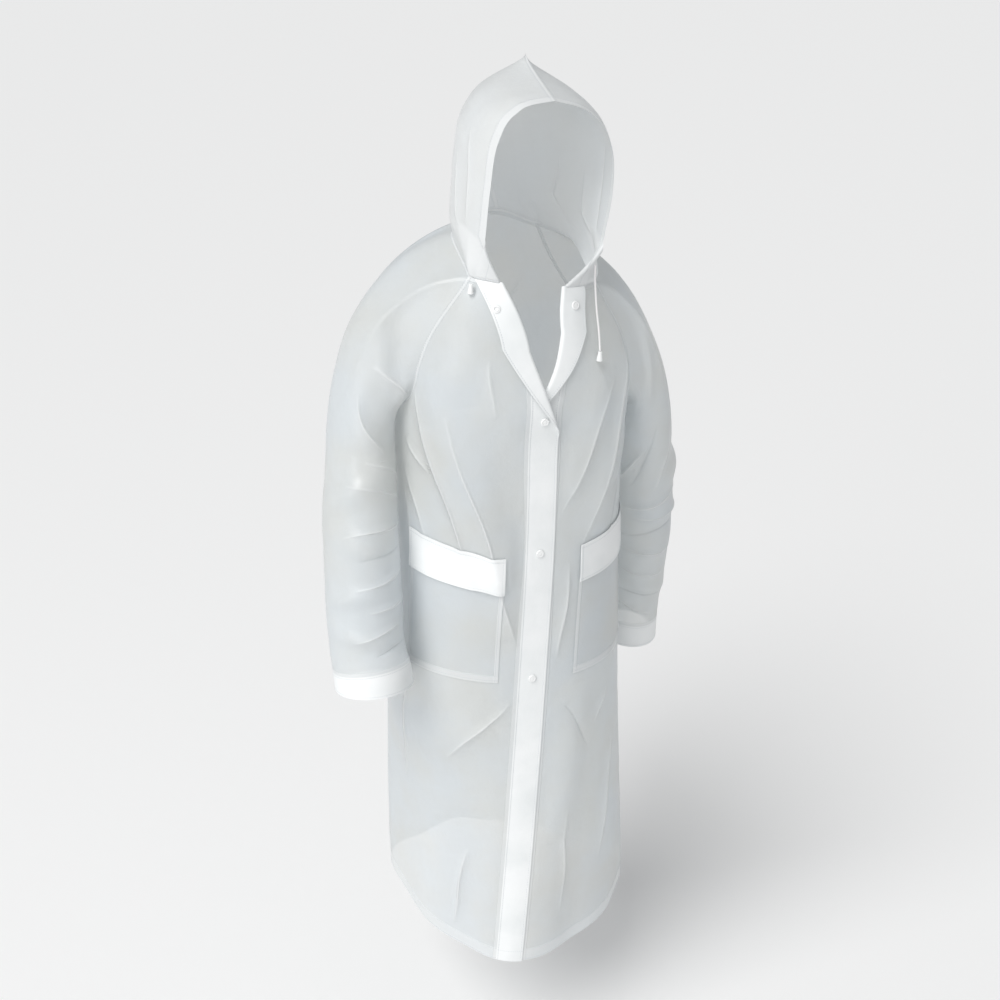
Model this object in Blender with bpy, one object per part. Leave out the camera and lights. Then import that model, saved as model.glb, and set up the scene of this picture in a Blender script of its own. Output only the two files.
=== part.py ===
"""Worn hooded raincoat of clear film with white trim, built panel by panel as it is cut and sewn.

Metres, +Z up, +X to the wearer's left, the front faces -Y. The origin lies on the body's axis at the
shoulders, where the coat is held. Every panel is a thin wall over a grid of points that is worked out
from the section tables below, so neighbouring panels share the points of their seam.
"""
import math

import bmesh
import bpy
import numpy as np
from mathutils import Vector

# ---------------------------------------------------------------- driving sizes
WALL = 0.0012               # film, and every other cut piece
SEAM_GAP = 0.0003           # left open between two pieces along a seam
LAYER_GAP = 0.0003          # left open between a panel and what lies on it
HEM = -1.205                # height of the hem at the centre front
UNDERARM = -0.235           # height where side seam and raglan seams meet
FRONT_NECK = -0.018         # height of the neck seam in front
BAND_WIDTH = 0.045          # front band, seam to free edge
ROLL_RADIUS = 0.0026        # bend where the bands and the hood's corners are turned back
LAP_LIFT = 0.0019           # the right front lies this far over the left one
BREAK_LIFT = 0.0078         # extra room where the two turned-back bands cross
BREAK_HEIGHT = -0.184       # height where they cross
BREAK_REACH = 0.040         # how quickly that extra room fades with height
LAP_FROM = -0.100           # height below which the right front begins to lie over the left one
LAP_BEGINS = 0.060          # and height over which it does
LAP_FADE = 0.090            # distance over which the right front comes down to the shared side seam

# ---------------------------------------------------------------- grid steps
BAND_COLUMNS = 8
FRONT_COLUMNS = 12
BACK_HALF_COLUMNS = 9
RAGLAN_ROWS = 11
NECK_COLUMNS = 6            # of a sleeve's top, along the neck seam
YOKE_ROWS = 5               # of a sleeve, from its raglan seams to the upper arm
ARM_ROWS = 11
CUFF_ROWS = 2
HOOD_COLLAR_ROWS = BAND_COLUMNS    # the roll line crosses one column a row
HOOD_CROWN_ROWS = 7
NECK_STEP_FRONT = 4         # the hood takes every fourth column of a front
NECK_STEP_BACK = 3          # and every third of the back
ARC_STEPS = 41
ROLL_OFFSET = 0.27          # of a column, from the roll line to the next grid line
SHARP = 0.80                # shared normals shorter than this mark a sharp fold

# Body sections. The sides are at y = 0, the exponent squares the oval.
#    height  half_width  front  back   exponent
TORSO = (
    (-1.205, 0.204, 0.196, 0.172, 1.75),
    (-0.870, 0.200, 0.181, 0.158, 2.05),
    (-0.600, 0.190, 0.174, 0.148, 2.25),
    (-0.400, 0.180, 0.169, 0.140, 2.30),
    (-0.235, 0.178, 0.164, 0.138, 2.40),
    (-0.140, 0.176, 0.158, 0.138, 2.40),
    (-0.085, 0.162, 0.149, 0.130, 2.30),
    (-0.018, 0.125, 0.128, 0.106, 2.20),
    (0.040, 0.098, 0.106, 0.078, 2.00),
)

# Raglan seams, from the underarm to the neck. A reach is a share of the quarter section's length.
#    share  front_height  front_reach  back_height  back_reach
RAGLAN = (
    (0.00, UNDERARM, 1.000, UNDERARM, 1.000),
    (0.18, -0.206, 0.800, -0.206, 0.815),
    (0.36, -0.178, 0.725, -0.172, 0.735),
    (0.54, -0.146, 0.695, -0.133, 0.690),
    (0.73, -0.103, 0.650, -0.082, 0.600),
    (0.86, -0.064, 0.590, -0.038, 0.520),
    (1.00, FRONT_NECK, 0.520, 0.022, 0.420),
)
BACK_NECK_RISE = 0.014      # the neck seam is this much higher at the centre back than at the raglan seams

# Front opening: distance of each band's seam from the centre line.
#    height  right   left
OPENING = (
    (HEM, 0.0225, 0.0225),
    (-0.235, 0.0225, 0.0225),
    (-0.200, 0.0225, 0.0225),
    (-0.185, 0.0225, 0.0230),
    (-0.165, 0.0230, 0.0260),
    (-0.130, 0.0250, 0.0300),
    (-0.090, 0.0310, 0.0290),
    (-0.050, 0.0450, 0.0280),
    (FRONT_NECK, 0.0610, 0.0330),
)
# A band is rolled back by one more column in each row, from this many rows above the underarm.
TURN_FROM = {"right": 0, "left": 1}

# Skirt and body rows below the underarm: a stop and the number of equal rows up to it.
POCKET_BOTTOM = -0.636
FLAP_BOTTOM = -0.468
FLAP_TOP = -0.405
#    stop         rows
LOWER_ROWS = (
    (POCKET_BOTTOM, 7),
    (FLAP_BOTTOM, 3),
    (FLAP_TOP, 1),
    (UNDERARM, 4),
)

# Columns of a front. Distances from the centre line hold beside the pocket, shares hold above it.
POCKET_COLUMNS = (2, 8)     # the pocket's inner and outer column
POCKET_WIDTH = 0.156
POCKET_INSET = {"right": 0.054, "left": 0.070}
FLAP_SLANT = 0.10           # rise of the flap's line per metre towards the side
SLANT_FADE = 0.12           # distance in height over which the slant dies away
SLANT_EDGE = 0.05           # and distance from the centre line and the side seam

# Arms: centre and half sizes of the sleeve's section, from the upper arm to the cuff's edge.
#    share  x       y       z       across  deep
ARM = {
    "right": (
        (0.00, 0.232, -0.015, -0.285, 0.0500, 0.0700),
        (0.28, 0.243, -0.050, -0.400, 0.0560, 0.0680),
        (0.55, 0.246, -0.080, -0.505, 0.0575, 0.0640),
        (0.80, 0.245, -0.106, -0.590, 0.0580, 0.0620),
        (0.91, 0.241, -0.118, -0.620, 0.0600, 0.0610),
        (1.00, 0.238, -0.126, -0.650, 0.0610, 0.0620),
    ),
    "left": (
        (0.00, 0.230, 0.000, -0.305, 0.0480, 0.0660),
        (0.28, 0.247, 0.026, -0.420, 0.0560, 0.0620),
        (0.55, 0.254, 0.044, -0.530, 0.0550, 0.0590),
        (0.80, 0.249, 0.058, -0.632, 0.0520, 0.0560),
        (0.91, 0.246, 0.063, -0.675, 0.0520, 0.0550),
        (1.00, 0.243, 0.067, -0.712, 0.0530, 0.0550),
    ),
}
CUFF_SHARE = 0.895          # where the sleeve ends and its cuff begins
NECK_SIDE = (0.092, 0.004, 0.016)      # where the neck seam crosses the shoulder
NECK_PULL = 0.45            # how straight the neck seam runs past that point
SHOULDER_SLOPE = -0.34      # fall of the shoulder as it leaves the neck
AWAY_ROUNDS = 6             # times the leaving directions are evened out round the sleeve's top
UNDERARM_AWAY = (0.80, 0.00, -0.60)    # how the sleeve leaves the body at the underarm
FOLLOW_FROM = 0.20          # share of a raglan seam from where the sleeve begins to leave as the body does
YOKE_LEAVES = 1.05          # how strongly the sleeve leaves its seam
YOKE_ARRIVES = 1.15         # and how strongly it runs into the upper arm

# Hood rows above its collar, before the turn of the head.
#    share  front_z back_z  rim    side   front_y back_y  turn_deg shift
HOOD = (
    (0.00, 0.044, 0.088, 0.090, 0.098, -0.108, 0.100, 4.0, 0.000),
    (0.30, 0.112, 0.148, 0.091, 0.098, -0.112, 0.108, 3.0, 0.006),
    (0.60, 0.176, 0.205, 0.080, 0.094, -0.118, 0.100, 0.0, 0.009),
    (0.82, 0.212, 0.240, 0.055, 0.068, -0.122, 0.076, -3.0, 0.011),
    (0.94, 0.226, 0.258, 0.027, 0.033, -0.125, 0.048, -5.0, 0.012),
    (1.00, 0.231, 0.269, 0.000, 0.000, -0.126, 0.030, -5.0, 0.012),
)
# What draws a hood row out sideways: share of the side, of the depth and of the rise to the back.
HOOD_HANDLES = (
    (1.14, 0.36, 0.30),
    (1.06, 1.00, 0.75),
)

COLLAR_FRONT = {            # how the hood leaves the neck seam at the roll line
    "right": (0.025, 0.000, 0.060),
    "left": (0.045, 0.000, 0.045),
}
COLLAR_BACK = (0.000, 0.010, 0.060)    # and at the centre back
HOOD_RISE = 0.30            # and how strongly it runs into its first crown row
HOOD_STEP = 0.04            # share over which that run is measured

# Wearer's stance: the skirt swings a little, its hem rises to the sides, and the shoulders tip.
#    height shift_x  turn_deg  tilt    rise to the sides
STANCE = (
    (HEM, 0.050, -17.0, -0.080, 1.10),
    (-0.870, 0.030, -9.0, -0.050, 0.35),
    (-0.600, 0.012, -2.5, -0.010, 0.00),
    (-0.400, 0.005, 0.0, 0.000, 0.00),
    (-0.200, 0.000, 0.0, -0.040, 0.00),
    (-0.050, 0.000, 0.0, -0.090, 0.00),
    (0.050, 0.000, 0.0, -0.060, 0.00),
    (0.300, 0.000, 0.0, 0.000, 0.00),
)

# Long soft folds of the fronts: ends as distance from the centre and height, spread and rise.
#    side     from_d  from_z  to_d   to_z    spread  rise
FRONT_FOLDS = (
    ("right", 0.175, -0.150, 0.050, -0.470, 0.030, 0.009),
    ("right", 0.110, -0.190, 0.035, -0.560, 0.026, 0.006),
    ("right", 0.240, -0.560, 0.235, -0.860, 0.030, 0.007),
    ("right", 0.060, -0.720, 0.180, -0.800, 0.030, 0.005),
    ("left", 0.170, -0.110, 0.090, -0.400, 0.030, 0.010),
    ("left", 0.110, -0.130, 0.045, -0.330, 0.026, 0.006),
    ("left", 0.090, -0.660, 0.070, -0.960, 0.030, 0.006),
)
BACK_FOLDS = (
    ("right", 0.150, -0.180, 0.060, -0.430, 0.032, 0.008),
    ("left", 0.155, -0.170, 0.050, -0.400, 0.032, 0.009),
    ("right", 0.120, -0.480, 0.130, -0.850, 0.034, 0.006),
    ("left", 0.100, -0.520, 0.140, -0.900, 0.034, 0.007),
)

FOLD_ROOM = 0.030           # distance from a panel's edge over which its folds die out

# Flares of the skirt: place around the hem from the centre front, spread and rise at the hem.
#    at_deg  spread_deg  rise
HEM_FLARES = (
    (-152.0, 14.0, 0.012),
    (-118.0, 12.0, -0.008),
    (-84.0, 13.0, 0.010),
    (-46.0, 14.0, 0.007),
    (-22.0, 9.0, -0.003),
    (36.0, 13.0, -0.008),
    (64.0, 11.0, 0.003),
    (96.0, 14.0, 0.011),
    (132.0, 13.0, -0.009),
    (162.0, 13.0, 0.010),
)
FLARE_TOP = -0.640          # the flares begin at this height

# Sleeve folds: place along the sleeve and around it, slant, half sizes and rise.
#    side     along  around_deg  slant  long   wide_deg  rise
SLEEVE_FOLDS = (
    ("right", 0.16, -40.0, 0.10, 0.032, 50.0, 0.005),
    ("right", 0.29, -75.0, -0.08, 0.034, 45.0, 0.008),
    ("right", 0.43, -62.0, 0.12, 0.036, 45.0, 0.008),
    ("right", 0.50, 88.0, -0.08, 0.036, 50.0, 0.007),
    ("right", 0.57, -80.0, -0.10, 0.034, 45.0, 0.007),
    ("right", 0.71, -62.0, 0.06, 0.032, 45.0, 0.006),
    ("right", 0.85, -75.0, -0.06, 0.030, 50.0, 0.006),
    ("left", 0.14, -70.0, -0.10, 0.032, 50.0, 0.006),
    ("left", 0.28, 70.0, 0.10, 0.034, 45.0, 0.007),
    ("left", 0.41, -15.0, -0.06, 0.045, 60.0, 0.007),
    ("left", 0.54, -88.0, 0.08, 0.036, 45.0, 0.008),
    ("left", 0.62, 75.0, -0.10, 0.032, 45.0, 0.007),
    ("left", 0.70, -85.0, -0.08, 0.032, 45.0, 0.006),
    ("left", 0.84, -75.0, 0.06, 0.030, 50.0, 0.006),
)

FOLDS_AROUND = 150.0        # degrees from the outside of the sleeve where they end
FOLDS_FADE = 60.0           # and degrees over which they die out there
FOLDS_TOP = 0.12            # share of the sleeve over which they begin
FOLDS_FOOT = 0.06           # and over which they end above the cuff

# Snaps: on which band, height, share of the band's width from its free edge, and which face shows.
#    name          side     height   share  turned
SNAPS = (
    ("snap_neck_right", "right", -0.044, 0.22, True),
    ("snap_neck_left", "left", -0.044, 0.40, True),
    ("snap_chest", "right", -0.202, 0.52, False),
    ("snap_waist", "right", -0.414, 0.50, False),
    ("snap_hip", "right", -0.631, 0.50, False),
)
SNAP_RADIUS = 0.0062
SNAP_HEIGHT = 0.0022
SNAP_EDGE = 0.0008          # rounding of a snap's and a toggle's rims
SNAP_SEAT = 0.0004          # room between a snap and the band it sits on
SNAP_PROBES = 9             # each way over the snap's foot
SNAP_REACH = 1.3            # of its radius, as far as the band under it is looked at
SNAP_SIDES = 20             # of a snap and a toggle

# Drawstring: its left end hangs free from the hood's corner, the right one is drawn up to its exit.
CORD_RADIUS = 0.0015
CORD_STEP = 0.0075          # between the tube's points
CORD_ROUTE = (
    (0.0842, -0.1093, 0.0040),
    (0.0848, -0.1108, -0.0150),
    (0.0852, -0.1160, -0.0350),
    (0.0852, -0.1260, -0.0600),
    (0.0852, -0.1388, -0.0850),
    (0.0852, -0.1480, -0.1100),
)
# Bell toggles, by the middle of their top face.
TOGGLES = (
    ("toggle_left", (0.0852, -0.1484, -0.1107)),
    ("toggle_right", (-0.0976, -0.1068, -0.0147)),
)
TOGGLE_TOP = 0.0028
TOGGLE_FOOT = 0.0046
TOGGLE_HEIGHT = 0.0140

SIDES = {"right": -1.0, "left": 1.0}

FILM = ("clear film", (0.86, 0.88, 0.88), 0.38)
WHITE = ("white trim", (0.93, 0.94, 0.95), 0.45)
PLASTIC = ("snap plastic", (0.95, 0.95, 0.95), 0.30)
CORD = ("cord", (0.92, 0.90, 0.90), 0.80)


# ---------------------------------------------------------------- small helpers
def along_table(table, at):
    """The values of a table's row at a key, on a smooth curve through its rows."""
    rows = np.array(table, dtype=float)
    keys = rows[:, 0]
    values = rows[:, 1:]
    slopes = np.gradient(values, keys, axis=0)
    at = min(max(at, keys[0]), keys[-1])
    low = min(max(int(np.searchsorted(keys, at)) - 1, 0), len(keys) - 2)
    span = keys[low + 1] - keys[low]
    t = (at - keys[low]) / span
    start = (2 * t**3 - 3 * t**2 + 1) * values[low] + (t**3 - 2 * t**2 + t) * span * slopes[low]
    end = (3 * t**2 - 2 * t**3) * values[low + 1] + (t**3 - t**2) * span * slopes[low + 1]
    return start + end


def ease(value):
    """0 to 1 with soft ends."""
    value = min(max(value, 0.0), 1.0)
    return value * value * (3 - 2 * value)


def unit(vectors):
    lengths = np.linalg.norm(vectors, axis=-1, keepdims=True)
    return vectors / np.maximum(lengths, 1e-12)


def lengths_along(points):
    """Distance of each point from the first, along the line through them."""
    steps = np.linalg.norm(np.diff(points, axis=0), axis=1)
    return np.concatenate(([0.0], np.cumsum(steps)))


def at_distances(points, distances):
    """Points at the given distances along a line."""
    along = lengths_along(points)
    return np.stack([np.interp(distances, along, points[:, axis]) for axis in range(3)], axis=1)


def hermite(start, start_slope, end, end_slope, t):
    return ((2 * t**3 - 3 * t**2 + 1) * start + (t**3 - 2 * t**2 + t) * start_slope
            + (3 * t**2 - 2 * t**3) * end + (t**3 - t**2) * end_slope)


# ---------------------------------------------------------------- the body's sections
def quarter_section(height, back):
    """A quarter of the body's oval at a height, from the centre line to the side."""
    half_width, front, rear, exponent = along_table(TORSO, height)
    angle = np.linspace(0, math.pi / 2, ARC_STEPS)
    x = half_width * np.sin(angle) ** (2 / exponent)
    depth = np.cos(angle) ** (2 / exponent)
    y = rear * depth if back else -front * depth
    return np.stack([x, y, np.full_like(x, height)], axis=1)


def body_points(distances, heights, side, back=False):
    """Points of the body's surface at distances from the centre line, towards one side."""
    points = []
    for distance, height in zip(distances, heights):
        section = quarter_section(height, back)
        point = at_distances(section, [abs(distance)])[0]
        point[0] *= side * (1.0 if distance >= 0 else -1.0)
        points.append(point)
    return np.array(points)


def section_reach(height, back):
    return lengths_along(quarter_section(height, back))[-1]


def lower_heights():
    heights = [HEM]
    for stop, rows in LOWER_ROWS:
        start = heights[-1]
        heights += [start + (stop - start) * (row + 1) / rows for row in range(rows)]
    return heights


def seam_rows():
    """Height and outer reach of every row, in front and behind: side seam first, then raglan seam."""
    rows = []
    for height in lower_heights():
        rows.append((height, section_reach(height, False), height, section_reach(height, True)))
    for row in range(1, RAGLAN_ROWS + 1):
        front_z, front_share, back_z, back_share = along_table(RAGLAN, row / RAGLAN_ROWS)
        rows.append((front_z, front_share * section_reach(front_z, False),
                     back_z, back_share * section_reach(back_z, True)))
    return rows


def front_distances(name, height, reach):
    """Where a front's columns lie in one row, from the band's seam to the side or raglan seam."""
    opening = along_table(OPENING, height)
    seam = opening[0] if name == "right" else opening[1]
    inner, outer = POCKET_COLUMNS
    inset = POCKET_INSET[name]
    fixed = np.concatenate((
        np.linspace(seam, inset, inner + 1),
        np.linspace(inset, inset + POCKET_WIDTH, outer - inner + 1)[1:],
        np.linspace(inset + POCKET_WIDTH, reach, FRONT_COLUMNS - outer + 1)[1:],
    ))
    even = np.linspace(seam, reach, FRONT_COLUMNS + 1)
    share = ease((height - FLAP_TOP) / (UNDERARM - FLAP_TOP))
    return fixed * (1 - share) + even * share


def front_grids():
    """Base points of both fronts and bands. Columns start at the free edge and go outwards."""
    grids = {}
    for name, side in SIDES.items():
        band_rows = []
        panel_rows = []
        for height, reach, _, _ in seam_rows():
            distances = front_distances(name, height, reach)
            slant = FLAP_SLANT * math.exp(-((height - FLAP_TOP) / SLANT_FADE) ** 2)
            middle = POCKET_INSET[name] + POCKET_WIDTH / 2
            inside = np.clip((reach - distances) / SLANT_EDGE, 0, 1) * np.clip(distances / SLANT_EDGE, 0, 1)
            heights = height + slant * inside * (distances - middle)
            heights[0] = height
            panel_rows.append(body_points(distances, heights, side))
            band = distances[0] - BAND_WIDTH * np.linspace(1, 0, BAND_COLUMNS + 1)
            band_rows.append(body_points(band, [height] * len(band), side))
        panel_rows[-1] = straightened(panel_rows[-1], NECK_STEP_FRONT)
        grids["band_" + name] = np.array(band_rows)
        grids["front_" + name] = np.array(panel_rows)
    return grids


def straightened(row, step):
    """A row whose points lie straight between every `step`-th one, as on the coarser hood."""
    made = row.copy()
    for start in range(0, len(row) - 1, step):
        for inner in range(1, step):
            part = inner / step
            made[start + inner] = row[start] * (1 - part) + row[start + step] * part
    return made


def back_grid():
    """Base points of the back, from the right side to the left."""
    rows = []
    top = BACK_NECK_RISE
    count = len(seam_rows())
    for index, (_, _, height, reach) in enumerate(seam_rows()):
        share = np.linspace(0, 1, BACK_HALF_COLUMNS + 1)
        rise = top * ease((index - count + 1 + RAGLAN_ROWS) / RAGLAN_ROWS)
        heights = height + rise * np.cos(share * math.pi / 2) ** 2
        left = body_points(share * reach, heights, 1.0, back=True)
        right = left * np.array([-1, 1, 1])
        rows.append(np.concatenate((right[:0:-1], left)))
    rows[-1] = straightened(rows[-1], NECK_STEP_BACK)
    return np.array(rows)


# ---------------------------------------------------------------- sleeves
def arm_frame(name, share):
    """Centre of a sleeve's section, its outward and forward directions and its half sizes."""
    side = SIDES[name]
    flip = np.array([side, 1, 1])
    step = 0.02
    values = along_table(ARM[name], share)
    ahead = along_table(ARM[name], min(share + step, 1.0))
    behind = along_table(ARM[name], max(share - step, 0.0))
    axis = unit((ahead[:3] - behind[:3]) * flip)
    outward = np.array([side, 0, 0]) - axis * axis[0] * side
    outward = unit(outward)
    forward = np.cross(axis, outward) * side
    if forward[1] > 0:
        forward = -forward
    return values[:3] * flip, axis, outward, forward, values[3], values[4]


def arm_ring(name, share, columns):
    """A sleeve's section: it starts next to the body and goes round by the front."""
    centre, _, outward, forward, across, deep = arm_frame(name, share)
    angle = np.linspace(0, 2 * math.pi, columns, endpoint=False)
    return (centre - outward * across * np.cos(angle)[:, None]
            + forward * deep * np.sin(angle)[:, None])


def neck_line(front_top, back_top):
    """The neck seam over the shoulder, from a front's raglan seam to the back's."""
    side = math.copysign(1.0, front_top[0])
    middle = np.array(NECK_SIDE) * np.array([side, 1, 1])
    slope = (back_top - front_top) * NECK_PULL
    first = [hermite(front_top, slope, middle, slope, t) for t in np.linspace(0, 1, NECK_COLUMNS // 2 + 1)]
    second = [hermite(middle, slope, back_top, slope, t) for t in np.linspace(0, 1, NECK_COLUMNS // 2 + 1)]
    return np.array(first + second[1:])


def sleeve_grid(name, front, back):
    """A raglan sleeve. Columns run from the underarm up the front seam and down the back one."""
    side = SIDES[name]
    first = len(front) - 1 - RAGLAN_ROWS
    back_column = -1 if name == "left" else 0
    front_seam = front[first:, -1]
    back_seam = back[first:, back_column]
    neck = neck_line(front_seam[-1], back_seam[-1])
    contour = np.concatenate((front_seam[:-1], neck[:-1], back_seam[:0:-1]))
    columns = len(contour)

    front_away = unit(front[first:, -1] - front[first:, -2])
    back_inner = back[first:, -2] if name == "left" else back[first:, 1]
    back_away = unit(back_seam - back_inner)
    neck_away = np.array([unit(np.array([side, 0.0, SHOULDER_SLOPE]))] * (NECK_COLUMNS - 1))
    away = np.concatenate((front_away, neck_away, back_away[:0:-1]))
    place = np.minimum(np.arange(columns), columns - np.arange(columns)) / RAGLAN_ROWS
    follow = np.array([ease((share - FOLLOW_FROM) / (1 - FOLLOW_FROM)) for share in place])[:, None]
    away = unit(away * follow + np.array(UNDERARM_AWAY) * np.array([side, 1, 1]) * (1 - follow))
    for _ in range(AWAY_ROUNDS):
        away = unit(away * 2 + np.roll(away, 1, axis=0) + np.roll(away, -1, axis=0))

    upper = arm_ring(name, 0.0, columns)
    axis = arm_frame(name, 0.0)[1]
    span = np.linalg.norm(upper - contour, axis=1)[:, None]
    rows = [hermite(contour, away * span * YOKE_LEAVES, upper, axis * span * YOKE_ARRIVES, t)
            for t in np.linspace(0, 1, YOKE_ROWS + 1)]
    rows += [arm_ring(name, CUFF_SHARE * row / ARM_ROWS, columns) for row in range(1, ARM_ROWS + 1)]
    return np.array(rows)


def cuff_grid(name, columns):
    shares = np.linspace(CUFF_SHARE, 1.0, CUFF_ROWS + 1)
    return np.array([arm_ring(name, share, columns) for share in shares])


# ---------------------------------------------------------------- hood
def hood_row(share, side):
    """One row of a hood's half, from the rim round to the centre back, as a dense line."""
    front_z, back_z, rim, wide, front_y, back_y, turn, shift = along_table(HOOD, share)
    drawn = [(wide * out, front_y + (back_y - front_y) * deep, front_z + (back_z - front_z) * up)
             for out, deep, up in HOOD_HANDLES]
    hold = ((rim, front_y, front_z), *drawn, (0.0, back_y, back_z))
    t = np.linspace(0, 1, ARC_STEPS)[:, None]
    weights = ((1 - t) ** 3, 3 * t * (1 - t) ** 2, 3 * t**2 * (1 - t), t**3)
    line = sum(weight * np.array(point) for weight, point in zip(weights, hold))
    line[:, 0] *= side
    angle = math.radians(turn)
    x = line[:, 0] * math.cos(angle) - line[:, 1] * math.sin(angle) + shift
    y = line[:, 0] * math.sin(angle) + line[:, 1] * math.cos(angle)
    return np.stack([x, y, line[:, 2]], axis=1)


def hood_base(name, grids):
    """A hood half's neck seam, from the band's seam round to the centre back."""
    back = grids["back"]
    middle = BACK_HALF_COLUMNS
    back_top = back[-1, middle:] if name == "left" else back[-1, middle::-1]
    neck = grids["sleeve_" + name][0, RAGLAN_ROWS:RAGLAN_ROWS + NECK_COLUMNS + 1]
    return np.concatenate((
        grids["front_" + name][-1][::NECK_STEP_FRONT],
        neck[1:],
        back_top[::-1][NECK_STEP_BACK::NECK_STEP_BACK],
    ))


def collar_line(name, base, share):
    """The hood's collar at a share of its height: a dense line from the roll line to the centre back."""
    side = SIDES[name]
    parts = np.linspace(0, 1, ARC_STEPS)

    def evenly(line):
        return at_distances(line, parts * lengths_along(line)[-1])

    crown = evenly(hood_row(0.0, side))
    rising = (evenly(hood_row(HOOD_STEP, side)) - crown) / HOOD_STEP * HOOD_RISE
    blend = parts[:, None]
    leaving = np.array(COLLAR_FRONT[name]) * (1 - blend) + np.array(COLLAR_BACK) * blend
    leaving[:, 0] *= side
    return hermite(evenly(base), leaving, crown, rising, share)


def collar_row(name, base, shares, share):
    """The hood's columns at a share of the collar's height, its corner rolled back."""
    line = collar_line(name, base, share)
    across = np.gradient(line, axis=0)
    up = collar_line(name, base, share + 0.02) - collar_line(name, base, share - 0.02)
    normals = unit(np.cross(across, up)) * SIDES[name]
    turn = turned_width((1 - share) * BAND_COLUMNS)
    rest = BAND_WIDTH - turn
    beyond = rest + (lengths_along(line)[-1] - rest) * shares[1:]
    own = BAND_WIDTH * np.linspace(0, 1, BAND_COLUMNS + 1) - turn
    return rolled_row(line, normals, np.concatenate((own, beyond)))


def hood_grids(grids):
    """Both halves of the hood. First row at the neck seam, last one along the ridge over the head."""
    bases = {name: hood_base(name, grids) for name in SIDES}
    beyond = [lengths_along(base) for base in bases.values()]
    shares = sum(line / line[-1] for line in beyond) / len(beyond)
    made = {}
    for name, side in SIDES.items():
        base = bases[name]
        collar = [collar_row(name, base, shares, row / HOOD_COLLAR_ROWS) for row in range(HOOD_COLLAR_ROWS)]
        collar[0] = np.concatenate((grids["band_" + name][-1][:-1], base))
        crown = [hood_points(row / HOOD_CROWN_ROWS, side, shares) for row in range(HOOD_CROWN_ROWS + 1)]
        made["hood_" + name] = np.array(collar + crown)
    return made


def hood_points(share, side, shares):
    """The hood's columns in one row above the collar: the band's width first, then by shares."""
    line = hood_row(share, side)
    rest = lengths_along(line)[-1] - BAND_WIDTH
    rim_part = BAND_WIDTH * np.linspace(0, 1, BAND_COLUMNS + 1)
    return at_distances(line, np.concatenate((rim_part, BAND_WIDTH + rest * shares[1:])))


# ---------------------------------------------------------------- folds
def ridge(point, start, end, spread):
    """Height of a soft fold along a line on a panel, 1 on its crest."""
    point, start, end = np.array(point), np.array(start), np.array(end)
    run = end - start
    t = min(max(float(np.dot(point - start, run) / np.dot(run, run)), 0.0), 1.0)
    off = np.linalg.norm(point - start - run * t)
    return math.exp(-(off / spread) ** 2) * math.sqrt(math.sin(math.pi * t))


def flare(point):
    """Rise of the skirt's waves at a point, none above their top."""
    drop = ease((FLARE_TOP - point[2]) / (FLARE_TOP - HEM))
    angle = math.degrees(math.atan2(point[0], -point[1]))
    rise = 0.0
    for at, spread, height in HEM_FLARES:
        off = (angle - at + 180) % 360 - 180
        rise += height * math.exp(-(off / spread) ** 2)
    return rise * drop


def panel_folds(points, folds, name, edges):
    """Rise of a panel's folds at its points; they die out at its edges."""
    rise = np.zeros(points.shape[:2])
    for row in range(points.shape[0]):
        across = lengths_along(points[row])
        for column in range(points.shape[1]):
            point = points[row, column]
            distance = abs(across[column] + edges[row])
            room = min(across[column], across[-1] - across[column]) / FOLD_ROOM
            total = 0.0
            for side, from_d, from_z, to_d, to_z, spread, height in folds:
                if side == name:
                    total += height * ridge((distance, point[2]), (from_d, from_z), (to_d, to_z), spread)
            rise[row, column] = total * ease(room)
    rise[-1] = 0.0
    return rise


def sleeve_folds(name, rows, columns):
    """Rise of a sleeve's folds; none at its ends or next to the body."""
    rise = np.zeros((rows, columns))
    for row in range(rows):
        along = row / (rows - 1)
        for column in range(columns):
            around = (360 * column / columns) - 180
            clear = ease((FOLDS_AROUND - abs(around)) / FOLDS_FADE)
            clear *= ease(along / FOLDS_TOP) * ease((1 - along) / FOLDS_FOOT)
            for side, at, at_deg, slant, long, wide, height in SLEEVE_FOLDS:
                if side != name:
                    continue
                off = along - at - slant * math.radians(around - at_deg) / math.pi
                spread = math.exp(-(off / long) ** 2 - ((around - at_deg) / wide) ** 2)
                rise[row, column] += height * spread * clear
    return rise


def rolled_row(line, normals, distances):
    """Points at distances from a roll line; those before it are rolled over and lie back on the row."""
    along = lengths_along(line)
    towards = unit(line[0] - at_distances(line, [2 * ROLL_RADIUS])[0])
    bend = math.pi * ROLL_RADIUS
    made = at_distances(line, distances)
    for index, distance in enumerate(distances):
        if distance >= 0:
            continue
        if -distance < bend:
            angle = -distance / ROLL_RADIUS
            made[index] = (line[0] + towards * ROLL_RADIUS * math.sin(angle)
                           + unit(normals[0]) * ROLL_RADIUS * (1 - math.cos(angle)))
        else:
            place = -distance - bend
            normal = unit(at_distances_of(normals, along, [place])[0])
            made[index] = at_distances(line, [place])[0] + normal * 2 * ROLL_RADIUS
    return made


def turned_back(points, normals, turn):
    """A row whose first `turn` metres are rolled over."""
    if turn <= 0.0:
        return points
    along = lengths_along(points)
    kept = along > turn
    line = np.concatenate((at_distances(points, [turn]), points[kept]))
    line_normals = np.concatenate((at_distances_of(normals, along, [turn]), normals[kept]))
    rolled = rolled_row(line, line_normals, along - turn)
    rolled[kept] = points[kept]
    return rolled


def at_distances_of(values, along, distances):
    return np.stack([np.interp(distances, along, values[:, axis]) for axis in range(3)], axis=1)


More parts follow.
